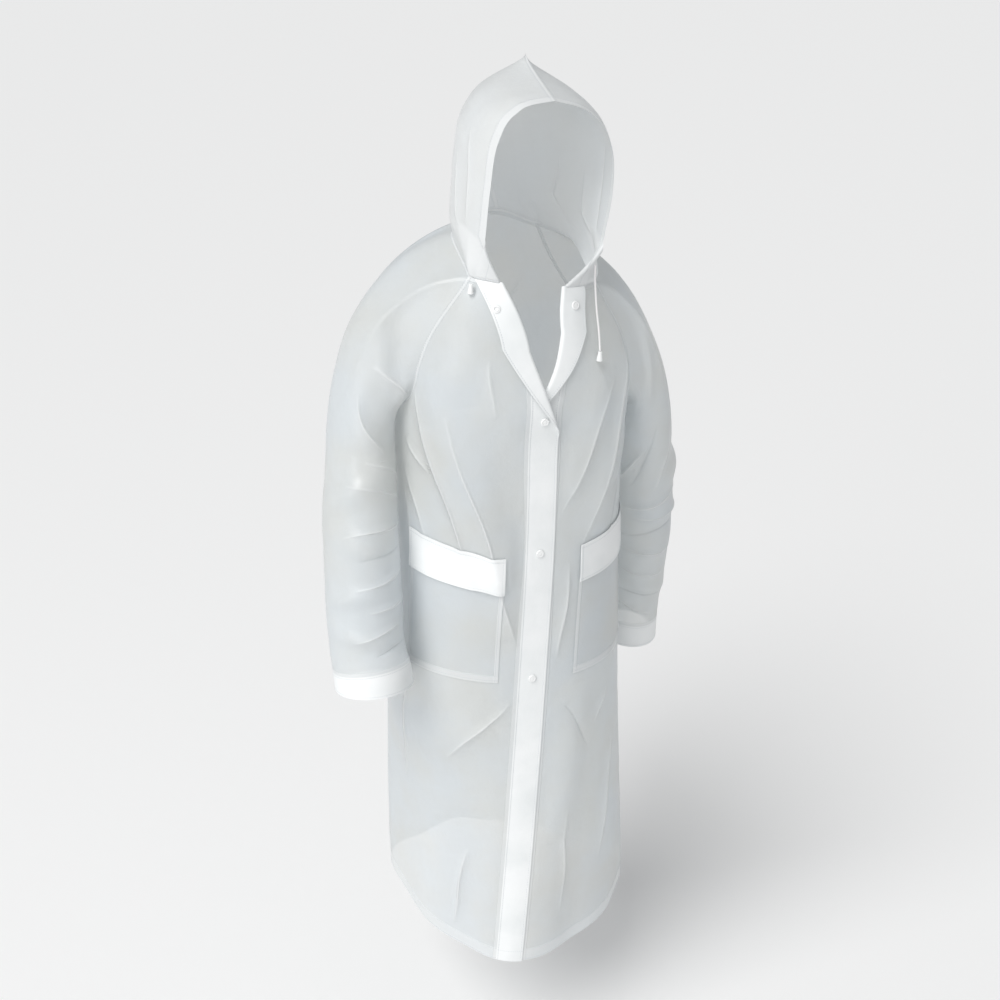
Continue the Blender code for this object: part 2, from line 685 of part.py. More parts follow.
# ---------------------------------------------------------------- shared normals
def shared_normals(panels):
    """Outward normals at every grid point, averaged over all the panels that meet there.

    Where body and sleeve fold sharply against each other, each keeps its own.
    """
    sums = {}
    counts = {}

    def key(point, group):
        return (*np.round(point, 6), group)

    for name, (grid, facing, closed) in panels.items():
        group = is_closed(name)
        across = np.concatenate((grid, grid[:, :1]), axis=1) if closed else grid
        first = across[1:, 1:] - across[:-1, :-1]
        second = across[1:, :-1] - across[:-1, 1:]
        faces = unit(np.cross(first, second)) * facing
        for row in range(faces.shape[0]):
            for column in range(faces.shape[1]):
                for corner in ((0, 0), (0, 1), (1, 0), (1, 1)):
                    place = key(across[row + corner[0], column + corner[1]], group)
                    sums[place] = sums.get(place, 0) + faces[row, column]
                    counts[place] = counts.get(place, 0) + 1

    def normal(point, group):
        own = sums[key(point, group)] / counts[key(point, group)]
        other = key(point, not group)
        if other not in sums:
            return own
        both = (own + sums[other] / counts[other]) / 2
        return own if np.linalg.norm(both) < SHARP else both

    normals = {}
    for name, (grid, _, _) in panels.items():
        group = is_closed(name)
        normals[name] = np.array([[normal(point, group) for point in row] for row in grid])
    return normals


def mitred(normals):
    """Normals made longer at a crease, so that a wall keeps its thickness round it."""
    lengths = np.linalg.norm(normals, axis=-1, keepdims=True)
    return normals / np.maximum(lengths, 1e-9) / np.clip(lengths, SHARP, 1.0)


# ---------------------------------------------------------------- the coat's surface
def is_closed(name):
    """Whether a panel is a tube."""
    return name.startswith(("sleeve", "cuff"))


def facing_of(name):
    """Whether columns times rows point outwards (1) or inwards (-1) on a panel."""
    inwards = name == "back" or name.endswith("right") != is_closed(name)
    return -1.0 if inwards else 1.0


def with_facing(grids):
    return {name: (grid, facing_of(name), is_closed(name)) for name, grid in grids.items()}


def lap_lift(name, height, beyond):
    """How far the right front is lifted to lie over the left one."""
    if name == "left":
        return 0.0
    rise = LAP_LIFT * ease((LAP_FROM - height) / LAP_BEGINS)
    rise += BREAK_LIFT * math.exp(-((height - BREAK_HEIGHT) / BREAK_REACH) ** 2)
    return rise * (1 - ease(beyond / LAP_FADE))


def coat_surface():
    """Outer points of every panel, with folds and turned-back bands, before the stance."""
    grids = front_grids()
    grids["back"] = back_grid()
    for name in SIDES:
        grids["sleeve_" + name] = sleeve_grid(name, grids["front_" + name], grids["back"])
        columns = grids["sleeve_" + name].shape[1]
        grids["cuff_" + name] = cuff_grid(name, columns)
    normals = {name: unit(value) for name, value in shared_normals(with_facing(grids)).items()}

    for name in SIDES:
        front = grids["front_" + name]
        heights = front[:, 0, 2]
        seams = np.array([along_table(OPENING, z)[0 if name == "right" else 1] for z in heights])
        rise = panel_folds(front, FRONT_FOLDS, name, seams)
        for row in range(front.shape[0]):
            beyond = lengths_along(front[row])
            for column in range(front.shape[1]):
                rise[row, column] += lap_lift(name, heights[row], beyond[column])
                rise[row, column] += flare(front[row, column])
        band = grids["band_" + name]
        band_rise = np.array([[lap_lift(name, point[2], 0.0) + flare(point) for point in row]
                              for row in band])
        grids["front_" + name] = front + normals["front_" + name] * rise[:, :, None]
        grids["band_" + name] = band + normals["band_" + name] * band_rise[:, :, None]
        sleeve = grids["sleeve_" + name]
        rise = sleeve_folds(name, *sleeve.shape[:2])
        grids["sleeve_" + name] = sleeve + normals["sleeve_" + name] * rise[:, :, None]

    back = grids["back"]
    centre = BACK_HALF_COLUMNS
    rise = np.zeros(back.shape[:2])
    rise[:, centre:] = panel_folds(back[:, centre:], BACK_FOLDS, "left", np.zeros(len(back)))
    right_rise = panel_folds(back[:, centre::-1], BACK_FOLDS, "right", np.zeros(len(back)))
    rise[:, centre::-1] = np.maximum(rise[:, centre::-1], right_rise)
    rise += np.array([[flare(point) for point in row] for row in back])
    grids["back"] = back + normals["back"] * rise[:, :, None]

    for name in SIDES:
        turn_bands(name, grids, normals)
    grids.update(hood_grids(grids))
    return {name: stance(grid) for name, grid in grids.items()}


def turned_width(columns):
    """Width of a band that is rolled back, so that a column lies right on top of the bend."""
    return BAND_WIDTH / BAND_COLUMNS * max(min(columns, BAND_COLUMNS) - ROLL_OFFSET, 0.0)


def turn_bands(name, grids, normals):
    """Rolls the open part of a front band outwards."""
    band = grids["band_" + name]
    front = grids["front_" + name]
    for row in range(len(band)):
        line = np.concatenate((band[row], front[row, 1:]))
        line_normals = np.concatenate((normals["band_" + name][row], normals["front_" + name][row, 1:]))
        turn = turned_width(row - (len(band) - 1 - RAGLAN_ROWS) - TURN_FROM[name])
        grids["band_" + name][row] = turned_back(line, line_normals, turn)[:BAND_COLUMNS + 1]


def stance(grid):
    """The wearer's stance: sideways shift, turn and tilt by height."""
    posed = grid.copy()
    for index in np.ndindex(grid.shape[:-1]):
        x, y, z = grid[index]
        shift, turn, tilt, rise = along_table(STANCE, z)
        angle = math.radians(turn)
        posed[index] = (x * math.cos(angle) - y * math.sin(angle) + shift,
                        x * math.sin(angle) + y * math.cos(angle),
                        z + tilt * x + rise * x**2)
    return posed


# ---------------------------------------------------------------- solids
def material(spec):
    name, colour, roughness = spec
    made = bpy.data.materials.get(name)
    if made is None:
        made = bpy.data.materials.new(name)
        made.use_nodes = True
        shader = made.node_tree.nodes["Principled BSDF"]
        shader.inputs["Base Color"].default_value = (*colour, 1.0)
        shader.inputs["Roughness"].default_value = roughness
        made.diffuse_color = (*colour, 1.0)
    return made


def add_mesh(name, mesh, spec):
    piece = bpy.data.objects.new(name, mesh)
    mesh.materials.append(material(spec))
    coat_collection().objects.link(piece)
    return piece


def coat_collection():
    name = "hooded raincoat"
    made = bpy.data.collections.get(name)
    if made is None:
        made = bpy.data.collections.new(name)
        bpy.context.scene.collection.children.link(made)
    return made


def trimmed(outer, inner, closed):
    """Both faces of a wall drawn back from its edges by half a seam gap, a sleeve's top by a whole one."""
    trim = SEAM_GAP / 2
    results = []
    for grid in (outer, inner):
        moved = grid.copy()
        moved[0] += unit(grid[1] - grid[0]) * (2 * trim if closed else trim)
        moved[-1] += unit(grid[-2] - grid[-1]) * trim
        if not closed:
            moved[:, 0] += unit(grid[:, 1] - grid[:, 0]) * trim
            moved[:, -1] += unit(grid[:, -2] - grid[:, -1]) * trim
            for row, near_row in ((0, 1), (-1, -2)):
                for column, near_column in ((0, 1), (-1, -2)):
                    inwards = unit(grid[near_row, near_column] - grid[row, column])
                    moved[row, column] = grid[row, column] + inwards * 2 * trim
        results.append(moved)
    return results


def wall(name, outer, inner, facing, closed, spec):
    """A closed solid between two grids of the same shape.

    Its quads are split along their shorter diagonal, and where a band or the hood is rolled back
    along the roll line.
    """
    outer, inner = trimmed(outer, inner, closed)
    rows, columns = outer.shape[:2]
    model = bmesh.new()
    points = [[[model.verts.new(point) for point in row] for row in grid] for grid in (outer, inner)]
    spans = columns if closed else columns - 1

    def add(corners):
        model.faces.new(corners if facing > 0 else corners[::-1])

    for row in range(rows - 1):
        for column in range(spans):
            after = (column + 1) % columns
            rising = np.linalg.norm(outer[row, column] - outer[row + 1, after])
            falling = np.linalg.norm(outer[row, after] - outer[row + 1, column])
            climbs = rising <= falling
            if name.startswith("band"):
                climbs = True
            elif name.startswith("hood") and row < HOOD_COLLAR_ROWS and column < BAND_COLUMNS:
                climbs = False
            for layer, grid in enumerate(points):
                a, b = grid[row][column], grid[row][after]
                c, d = grid[row + 1][after], grid[row + 1][column]
                split = ((a, b, c), (a, c, d)) if climbs else ((a, b, d), (b, c, d))
                for corners in split:
                    add(corners if layer == 0 else corners[::-1])

    def edge(first, second, flip):
        """Closes the wall along one step of its edge: each of the two holds an outer and an inner point."""
        (a, b), (c, d) = first, second
        falling = (a.co - d.co).length <= (b.co - c.co).length
        split = ((c, a, d), (a, b, d)) if falling else ((c, a, b), (c, b, d))
        for corners in split:
            add(corners[::-1] if flip else corners)

    for row, flip in ((0, False), (rows - 1, True)):
        for column in range(spans):
            after = (column + 1) % columns
            edge((points[0][row][column], points[1][row][column]),
                 (points[0][row][after], points[1][row][after]), flip)
    if not closed:
        for column, flip in ((0, True), (columns - 1, False)):
            for row in range(rows - 1):
                edge((points[0][row][column], points[1][row][column]),
                     (points[0][row + 1][column], points[1][row + 1][column]), flip)
    mesh = bpy.data.meshes.new(name)
    model.to_mesh(mesh)
    model.free()
    mesh.shade_smooth()
    mesh.set_sharp_from_angle(angle=math.radians(40))
    return add_mesh(name, mesh, spec)


def build_panels(grids, normals):
    for name, (grid, facing, closed) in with_facing(grids).items():
        spec = WHITE if name.startswith(("band", "cuff")) else FILM
        wall(name, grid, grid - mitred(normals[name]) * WALL, facing, closed, spec)


def build_pockets(grids, normals):
    """Patch pockets and flaps: made from the front's own points, moved out."""
    counts = [count for _, count in LOWER_ROWS]
    rows = (counts[0], sum(counts[:2]), sum(counts[:3]))
    inner, outer = POCKET_COLUMNS
    kinds = (
        ("pocket_", rows[0], LAYER_GAP, FILM),
        ("flap_", rows[1], 2 * LAYER_GAP + WALL, WHITE),
    )
    for name in SIDES:
        for kind, bottom, lift, spec in kinds:
            part = (slice(bottom, rows[2] + 1), slice(inner, outer + 1))
            out = normals["front_" + name][part]
            under = grids["front_" + name][part] + out * lift
            wall(kind + name, under + out * WALL, under, facing_of("front_" + name), False, spec)


def on_band(grid, normals, height, share):
    """A point of a band and its normal, at a height and a share of the width from the free edge."""
    column = share * BAND_COLUMNS
    low = int(column)
    part = column - low
    points = grid[:, low] * (1 - part) + grid[:, low + 1] * part
    directions = normals[:, low] * (1 - part) + normals[:, low + 1] * part
    row = np.interp(height, points[:, 2], np.arange(len(points)))
    below = min(int(row), len(points) - 2)
    part = row - below
    point = points[below] * (1 - part) + points[below + 1] * part
    return point, unit(directions[below] * (1 - part) + directions[below + 1] * part)


def snap_seat(grid, normals, centre, normal, face):
    """Height over a snap's centre that clears the band all over the snap's own foot."""
    step = SNAP_RADIUS / BAND_WIDTH
    high = 0.0
    for height in np.linspace(-1, 1, SNAP_PROBES):
        for share in np.linspace(-1, 1, SNAP_PROBES):
            place, _ = on_band(grid, normals, centre[2] + height * SNAP_RADIUS, face + share * step)
            off = place - centre
            if np.linalg.norm(off - normal * np.dot(off, normal)) < SNAP_RADIUS * SNAP_REACH:
                high = max(high, float(np.dot(off, normal)))
    return high + SNAP_SEAT


def rounded_cone(name, foot, top, height, spec):
    """A short upright cone about its own centre, its two rims rounded."""
    model = bmesh.new()
    bmesh.ops.create_cone(model, cap_ends=True, segments=SNAP_SIDES, radius1=foot, radius2=top, depth=height)
    rims = [edge for edge in model.edges if len({round(vert.co.z, 6) for vert in edge.verts}) == 1]
    bmesh.ops.bevel(model, geom=rims, offset=SNAP_EDGE, segments=2, affect="EDGES", profile=0.5)
    mesh = bpy.data.meshes.new(name)
    model.to_mesh(mesh)
    model.free()
    return add_mesh(name, mesh, spec)


def build_snaps(grids, normals):
    for name, side, height, share, turned in SNAPS:
        grid, directions = grids["band_" + side], normals["band_" + side]
        if turned:
            grid, directions = grid - directions * WALL, -directions
        point, normal = on_band(grid, directions, height, share)
        seat = snap_seat(grid, directions, point, normal, share)
        centre = point + normal * (seat + SNAP_HEIGHT / 2)
        piece = rounded_cone(name, SNAP_RADIUS, SNAP_RADIUS, SNAP_HEIGHT, PLASTIC)
        piece.rotation_mode = "QUATERNION"
        piece.rotation_quaternion = Vector(normal).to_track_quat("Z", "Y")
        piece.location = centre


def build_drawstring():
    """The free cord as a tube, and the toggles as rounded bells."""
    route = np.array(CORD_ROUTE)
    table = [(place, *point) for place, point in zip(lengths_along(route), route)]
    dense = np.array([along_table(table, place) for place in np.linspace(0, table[-1][0], ARC_STEPS)])
    length = lengths_along(dense)[-1]
    points = at_distances(dense, np.linspace(0, length, round(length / CORD_STEP) + 1))
    curve = bpy.data.curves.new("drawstring_left", "CURVE")
    curve.dimensions = "3D"
    curve.bevel_depth = CORD_RADIUS
    curve.bevel_resolution = 2
    curve.use_fill_caps = True
    spline = curve.splines.new("POLY")
    spline.points.add(len(points) - 1)
    for place, point in zip(spline.points, points):
        place.co = (*point, 1.0)
    add_mesh("drawstring_left", curve, CORD)
    for name, top in TOGGLES:
        piece = rounded_cone(name, TOGGLE_FOOT, TOGGLE_TOP, TOGGLE_HEIGHT, CORD)
        piece.location = Vector(top) - Vector((0, 0, TOGGLE_HEIGHT / 2))


for old in list(bpy.data.objects):
    bpy.data.objects.remove(old)
surface = coat_surface()
surface_normals = shared_normals(with_facing(surface))
build_panels(surface, surface_normals)
unit_normals = {name: unit(value) for name, value in surface_normals.items()}
build_pockets(surface, unit_normals)
build_snaps(surface, unit_normals)
build_drawstring()
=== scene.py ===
"""Looks of the hooded raincoat: clear frosted film, white trim, sewing, snaps and a drawstring.

Metres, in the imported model's frame: +Z up, +X to the wearer's left, the front faces -Y. The panels are worked
out from the same section tables as the solids, on finer grids, and stand for those solids.
"""
import math

import bmesh
import bpy
import numpy as np
from mathutils import Matrix, Vector, noise


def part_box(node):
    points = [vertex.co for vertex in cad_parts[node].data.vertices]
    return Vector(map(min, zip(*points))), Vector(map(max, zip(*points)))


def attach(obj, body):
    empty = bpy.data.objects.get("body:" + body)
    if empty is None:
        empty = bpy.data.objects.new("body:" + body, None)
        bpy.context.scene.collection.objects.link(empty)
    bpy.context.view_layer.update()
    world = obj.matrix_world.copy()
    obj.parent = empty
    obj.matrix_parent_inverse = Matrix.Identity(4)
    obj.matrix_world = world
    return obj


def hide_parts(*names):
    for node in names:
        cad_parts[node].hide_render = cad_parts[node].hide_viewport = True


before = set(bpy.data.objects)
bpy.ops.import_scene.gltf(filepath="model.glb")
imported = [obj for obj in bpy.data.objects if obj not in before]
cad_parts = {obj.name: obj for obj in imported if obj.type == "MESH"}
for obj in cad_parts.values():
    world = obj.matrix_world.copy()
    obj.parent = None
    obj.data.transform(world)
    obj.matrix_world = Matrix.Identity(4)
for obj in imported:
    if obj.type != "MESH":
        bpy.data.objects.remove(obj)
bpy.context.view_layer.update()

# ---- sizes shared with the solids
WALL = 0.0012               # every cut piece
LAYER_GAP = 0.0003          # between a panel and what lies on it
HEM = -1.205
UNDERARM = -0.235
FRONT_NECK = -0.018
BAND_WIDTH = 0.045
ROLL_RADIUS = 0.0026        # bend where the bands and the hood's corners are turned back
LAP_LIFT = 0.0019           # the right front lies this far over the left one
BREAK_LIFT = 0.0078         # extra room where the two turned-back bands cross
BREAK_HEIGHT = -0.184
BREAK_REACH = 0.04
LAP_FROM = -0.1
LAP_BEGINS = 0.06
LAP_FADE = 0.09

# Grid steps, finer than the solids' own.
FINE = 4                    # steps of the bands, the raglan rows and the hood's collar for each of the solids'
BAND_COLUMNS = 8 * FINE
RAGLAN_ROWS = 11 * FINE
HOOD_COLLAR_ROWS = BAND_COLUMNS
HOOD_CROWN_ROWS = 42
FRONT_COLUMNS = 84
BACK_HALF_COLUMNS = 63
NECK_COLUMNS = 24
YOKE_ROWS = 35
ARM_ROWS = 77
CUFF_ROWS = 10
NECK_STEP_FRONT = 4
NECK_STEP_BACK = 3
ARC_STEPS = 121
ROLL_OFFSET = 0.27 * FINE
TURN_FROM = {"right": 0, "left": FINE}
SHARP = 0.8
SLOPE_STEP = 0.02           # share between the points where a slope is read

# height, half_width, front, back, exponent
TORSO = (
    (-1.205, 0.204, 0.196, 0.172, 1.75),
    (-0.87, 0.2, 0.181, 0.158, 2.05),
    (-0.6, 0.19, 0.174, 0.148, 2.25),
    (-0.4, 0.18, 0.169, 0.14, 2.3),
    (-0.235, 0.178, 0.164, 0.138, 2.4),
    (-0.14, 0.176, 0.158, 0.138, 2.4),
    (-0.085, 0.162, 0.149, 0.13, 2.3),
    (-0.018, 0.125, 0.128, 0.106, 2.2),
    (0.04, 0.098, 0.106, 0.078, 2.0),
)
# share, front_height, front_reach, back_height, back_reach
RAGLAN = (
    (0.0, UNDERARM, 1.0, UNDERARM, 1.0),
    (0.18, -0.206, 0.8, -0.206, 0.815),
    (0.36, -0.178, 0.725, -0.172, 0.735),
    (0.54, -0.146, 0.695, -0.133, 0.69),
    (0.73, -0.103, 0.65, -0.082, 0.6),
    (0.86, -0.064, 0.59, -0.038, 0.52),
    (1.0, FRONT_NECK, 0.52, 0.022, 0.42),
)
BACK_NECK_RISE = 0.014
# height, right_seam, left_seam
OPENING = (
    (HEM, 0.0225, 0.0225),
    (-0.235, 0.0225, 0.0225),
    (-0.2, 0.0225, 0.0225),
    (-0.185, 0.0225, 0.023),
    (-0.165, 0.023, 0.026),
    (-0.13, 0.025, 0.03),
    (-0.09, 0.031, 0.029),
    (-0.05, 0.045, 0.028),
    (FRONT_NECK, 0.061, 0.033),
)
FLAP_TOP = -0.405
# stop, rows
LOWER_ROWS = (
    (-0.636, 96),
    (-0.468, 32),
    (FLAP_TOP, 14),
    (UNDERARM, 34),
)
POCKET_COLUMNS = (14, 56)
POCKET_WIDTH = 0.156
POCKET_INSET = {"right": 0.054, "left": 0.07}
FLAP_SLANT = 0.1
SLANT_FADE = 0.12
SLANT_EDGE = 0.05
# share, x, y, z, across, deep
ARM = {
    "right": (
        (0.0, 0.232, -0.015, -0.285, 0.05, 0.07),
        (0.28, 0.243, -0.05, -0.4, 0.056, 0.068),
        (0.55, 0.246, -0.08, -0.505, 0.0575, 0.064),
        (0.8, 0.245, -0.106, -0.59, 0.058, 0.062),
        (0.91, 0.241, -0.118, -0.62, 0.06, 0.061),
        (1.0, 0.238, -0.126, -0.65, 0.061, 0.062),
    ),
    "left": (
        (0.0, 0.23, 0.0, -0.305, 0.048, 0.066),
        (0.28, 0.247, 0.026, -0.42, 0.056, 0.062),
        (0.55, 0.254, 0.044, -0.53, 0.055, 0.059),
        (0.8, 0.249, 0.058, -0.632, 0.052, 0.056),
        (0.91, 0.246, 0.063, -0.675, 0.052, 0.055),
        (1.0, 0.243, 0.067, -0.712, 0.053, 0.055),
    ),
}
CUFF_SHARE = 0.895
NECK_SIDE = (0.092, 0.004, 0.016)
NECK_PULL = 0.45
SHOULDER_SLOPE = -0.34
AWAY_ROUNDS = 6 * FINE * FINE
UNDERARM_AWAY = (0.8, 0.0, -0.6)
FOLLOW_FROM = 0.2
YOKE_LEAVES = 1.05
YOKE_ARRIVES = 1.15
# share, front_z, back_z, rim, side, front_y, back_y, turn_deg, shift
HOOD = (
    (0.0, 0.044, 0.088, 0.09, 0.098, -0.108, 0.1, 4.0, 0.0),
    (0.3, 0.112, 0.148, 0.091, 0.098, -0.112, 0.108, 3.0, 0.006),
    (0.6, 0.176, 0.205, 0.08, 0.094, -0.118, 0.1, 0.0, 0.009),
    (0.82, 0.212, 0.24, 0.055, 0.068, -0.122, 0.076, -3.0, 0.011),
    (0.94, 0.226, 0.258, 0.027, 0.033, -0.125, 0.048, -5.0, 0.012),
    (1.0, 0.231, 0.269, 0.0, 0.0, -0.126, 0.03, -5.0, 0.012),
)
HOOD_HANDLES = ((1.14, 0.36, 0.3), (1.06, 1.0, 0.75))
COLLAR_FRONT = {"right": (0.025, 0.0, 0.06), "left": (0.045, 0.0, 0.045)}
COLLAR_BACK = (0.0, 0.01, 0.06)
HOOD_RISE = 0.3
HOOD_STEP = 0.04
# height, shift_x, turn_deg, tilt, rise to the sides
STANCE = (
    (HEM, 0.05, -17.0, -0.08, 1.1),
    (-0.87, 0.03, -9.0, -0.05, 0.35),
    (-0.6, 0.012, -2.5, -0.01, 0.0),
    (-0.4, 0.005, 0.0, 0.0, 0.0),
    (-0.2, 0.0, 0.0, -0.04, 0.0),
    (-0.05, 0.0, 0.0, -0.09, 0.0),
    (0.05, 0.0, 0.0, -0.06, 0.0),
    (0.3, 0.0, 0.0, 0.0, 0.0),
)
# side, from_d, from_z, to_d, to_z, spread, rise
FRONT_FOLDS = (
    ("right", 0.175, -0.15, 0.05, -0.47, 0.03, 0.009),
    ("right", 0.11, -0.19, 0.035, -0.56, 0.026, 0.006),
    ("right", 0.24, -0.56, 0.235, -0.86, 0.03, 0.007),
    ("right", 0.06, -0.72, 0.18, -0.8, 0.03, 0.005),
    ("left", 0.17, -0.11, 0.09, -0.4, 0.03, 0.01),
    ("left", 0.11, -0.13, 0.045, -0.33, 0.026, 0.006),
    ("left", 0.09, -0.66, 0.07, -0.96, 0.03, 0.006),
)
BACK_FOLDS = (
    ("right", 0.15, -0.18, 0.06, -0.43, 0.032, 0.008),
    ("left", 0.155, -0.17, 0.05, -0.4, 0.032, 0.009),
    ("right", 0.12, -0.48, 0.13, -0.85, 0.034, 0.006),
    ("left", 0.1, -0.52, 0.14, -0.9, 0.034, 0.007),
)
# at_deg, spread_deg, rise
HEM_FLARES = (
    (-152.0, 14.0, 0.012),
    (-118.0, 12.0, -0.008),
    (-84.0, 13.0, 0.01),
    (-46.0, 14.0, 0.007),
    (-22.0, 9.0, -0.003),
    (36.0, 13.0, -0.008),
    (64.0, 11.0, 0.003),
    (96.0, 14.0, 0.011),
    (132.0, 13.0, -0.009),
    (162.0, 13.0, 0.01),
)
FLARE_TOP = -0.64
FOLD_ROOM = 0.03
FOLDS_AROUND = 150.0
FOLDS_FADE = 60.0
FOLDS_TOP = 0.12
FOLDS_FOOT = 0.06
# side, along, around_deg, slant, long, wide_deg, rise
SLEEVE_FOLDS = (
    ("right", 0.16, -40.0, 0.1, 0.032, 50.0, 0.005),
    ("right", 0.29, -75.0, -0.08, 0.034, 45.0, 0.008),
    ("right", 0.43, -62.0, 0.12, 0.036, 45.0, 0.008),
    ("right", 0.5, 88.0, -0.08, 0.036, 50.0, 0.007),
    ("right", 0.57, -80.0, -0.1, 0.034, 45.0, 0.007),
    ("right", 0.71, -62.0, 0.06, 0.032, 45.0, 0.006),
    ("right", 0.85, -75.0, -0.06, 0.03, 50.0, 0.006),
    ("left", 0.14, -70.0, -0.1, 0.032, 50.0, 0.006),
    ("left", 0.28, 70.0, 0.1, 0.034, 45.0, 0.007),
    ("left", 0.41, -15.0, -0.06, 0.045, 60.0, 0.007),
    ("left", 0.54, -88.0, 0.08, 0.036, 45.0, 0.008),
    ("left", 0.62, 75.0, -0.1, 0.032, 45.0, 0.007),
    ("left", 0.7, -85.0, -0.08, 0.032, 45.0, 0.006),
    ("left", 0.84, -75.0, 0.06, 0.03, 50.0, 0.006),
)
CORD_RADIUS = 0.0015
CORD_ROUTE = (
    (0.0842, -0.1093, 0.004),
    (0.0848, -0.1108, -0.015),
    (0.0852, -0.116, -0.035),
    (0.0852, -0.126, -0.06),
    (0.0852, -0.1388, -0.085),
    (0.0852, -0.148, -0.11),
)
CORD_POINTS = 40
SIDES = {"right": -1.0, "left": 1.0}

# ---- creases, sewing and cut
# Sharp creases of the film, in each panel's own sizes. Fronts: distance from the centre and height. Back: the same,
# signed. Sleeves: distance round from the outer middle, forwards, and down from the neck. Hood: from the rim, and up.
# Each row: from_u, from_v, to_u, to_v, spread, rise.
CREASES = {
    "front_right": (
        (0.205, -0.165, 0.096, -0.485, 0.0075, 0.0058), (0.14, -0.205, 0.024, -0.585, 0.007, 0.0054),
        (0.222, -0.262, 0.172, -0.3, 0.006, 0.0036), (0.23, -0.305, 0.182, -0.41, 0.0065, 0.0036),
        (0.232, -0.34, 0.214, -0.43, 0.005, 0.003), (0.03, -0.672, 0.128, -0.8, 0.0045, 0.0036),
        (0.205, -0.65, 0.215, -0.9, 0.007, 0.0046), (0.086, -0.985, 0.104, -1.165, 0.005, 0.0042),
        (0.08, -0.12, 0.07, -0.2, 0.006, 0.0022),
    ),
    "front_left": (
        (0.165, -0.1, 0.078, -0.42, 0.0065, 0.0046), (0.12, -0.15, 0.038, -0.35, 0.0055, 0.0038),
        (0.215, -0.25, 0.14, -0.42, 0.006, -0.003), (0.19, -0.235, 0.13, -0.33, 0.006, 0.0036),
        (0.055, -0.44, 0.04, -0.6, 0.0055, 0.0036), (0.06, -0.69, 0.118, -0.79, 0.005, -0.003),
        (0.155, -0.69, 0.128, -0.745, 0.0055, 0.0034), (0.185, -0.8, 0.17, -1.05, 0.008, 0.004),
        (0.08, -0.9, 0.09, -1.12, 0.0065, 0.0034),
    ),
    "back": (
        (0.205, -0.25, 0.08, -0.42, 0.0065, 0.0042), (-0.2, -0.245, -0.07, -0.4, 0.0065, 0.0044),
        (0.215, -0.32, 0.14, -0.44, 0.0065, -0.003), (-0.215, -0.3, -0.13, -0.47, 0.006, 0.0032),
        (0.06, -0.08, 0.02, -0.23, 0.007, 0.0024), (-0.05, -0.06, -0.03, -0.2, 0.007, 0.002),
        (0.1, -0.56, 0.13, -0.82, 0.008, 0.0038), (-0.12, -0.6, -0.15, -0.88, 0.008, 0.0042),
        (0.01, -0.76, -0.09, -0.85, 0.0055, 0.0032), (0.04, -0.93, 0.045, -1.15, 0.007, 0.004),
        (-0.19, -0.95, -0.185, -1.15, 0.008, 0.0034),
    ),
    "sleeve_right": (
        (-0.065, 0.125, -0.148, 0.018, 0.006, 0.0044), (-0.06, 0.16, -0.118, 0.225, 0.006, 0.0036),
        (-0.085, 0.24, -0.16, 0.262, 0.005, 0.004), (-0.055, 0.282, -0.165, 0.302, 0.005, 0.0036),
        (-0.052, 0.372, -0.168, 0.348, 0.005, 0.0044), (-0.075, 0.416, -0.162, 0.394, 0.005, -0.003),
        (-0.07, 0.474, -0.166, 0.44, 0.005, 0.0038), (-0.088, 0.524, -0.172, 0.506, 0.005, 0.0036),
        (-0.066, 0.592, -0.15, 0.56, 0.005, 0.0036), (-0.095, 0.64, -0.165, 0.614, 0.005, -0.0032),
        (0.14, 0.3, 0.06, 0.35, 0.006, 0.0034), (0.16, 0.42, 0.05, 0.44, 0.006, -0.003),
        (0.15, 0.51, 0.06, 0.5, 0.006, 0.0034), (0.15, 0.6, 0.04, 0.62, 0.006, 0.0028),
    ),
    "sleeve_left": (
        (-0.03, 0.335, -0.15, 0.372, 0.0045, 0.004), (0.01, 0.398, -0.132, 0.392, 0.0045, 0.0036),
        (-0.03, 0.424, -0.158, 0.446, 0.0045, -0.0034), (-0.04, 0.488, -0.15, 0.476, 0.0045, 0.0036),
        (-0.055, 0.545, -0.158, 0.532, 0.0045, 0.0034), (-0.04, 0.6, -0.15, 0.59, 0.0045, -0.003),
        (-0.07, 0.655, -0.16, 0.615, 0.0045, 0.0034), (-0.05, 0.19, -0.095, 0.31, 0.0055, 0.0036),
        (-0.09, 0.17, -0.14, 0.31, 0.005, -0.0032), (-0.115, 0.205, -0.165, 0.3, 0.0045, 0.0034),
        (0.15, 0.31, 0.04, 0.35, 0.006, 0.0034), (0.16, 0.4, 0.06, 0.43, 0.006, -0.003),
        (0.14, 0.52, 0.05, 0.5, 0.006, 0.0034), (0.15, 0.61, 0.06, 0.64, 0.006, 0.0028),
    ),
    "hood_right": (
        (0.05, 0.11, 0.072, 0.2, 0.007, 0.0026), (0.085, 0.09, 0.115, 0.17, 0.007, 0.0026),
        (0.15, 0.07, 0.16, 0.14, 0.008, -0.0022),
    ),
    "hood_left": (
        (0.04, 0.1, 0.062, 0.19, 0.006, 0.0026), (0.07, 0.085, 0.11, 0.15, 0.007, -0.0024),
        (0.16, 0.08, 0.17, 0.15, 0.008, 0.002),
    ),
}
CREASE_CREST = 0.0022       # rounding of a crease in the mesh
CREASE_FULL = 0.004         # height of a crease whose crest gets the full painted highlight on a ridge, the full painted shade in a trough
CREST_REACH = 0.008         # a crest is drawn no further than this from its line
CREST_FADE = 0.003
CREST_WIDTH = 2.4           # millimetres
CREST_PAINTED_LIGHT = 0.9           # painted light of a full crest: painted highlight on a ridge, painted shade in a trough
CREASE_WANDER = 0.004       # sideways waver of a crease's line
CREASE_WAVE = 23.0          # radians of that waver for each metre
CREASE_TAPER = 0.7          # power of its fading towards both ends
MILK = {"hood": 0.95, "pocket": 0.22, "sleeve": 0.12}       # extra whiteness of the film
COLLAR_WHITE_WIDTH = 0.105  # the hood is opaque this far from the free edge of its rolled corner
COLLAR_WHITE_FADE = 0.05
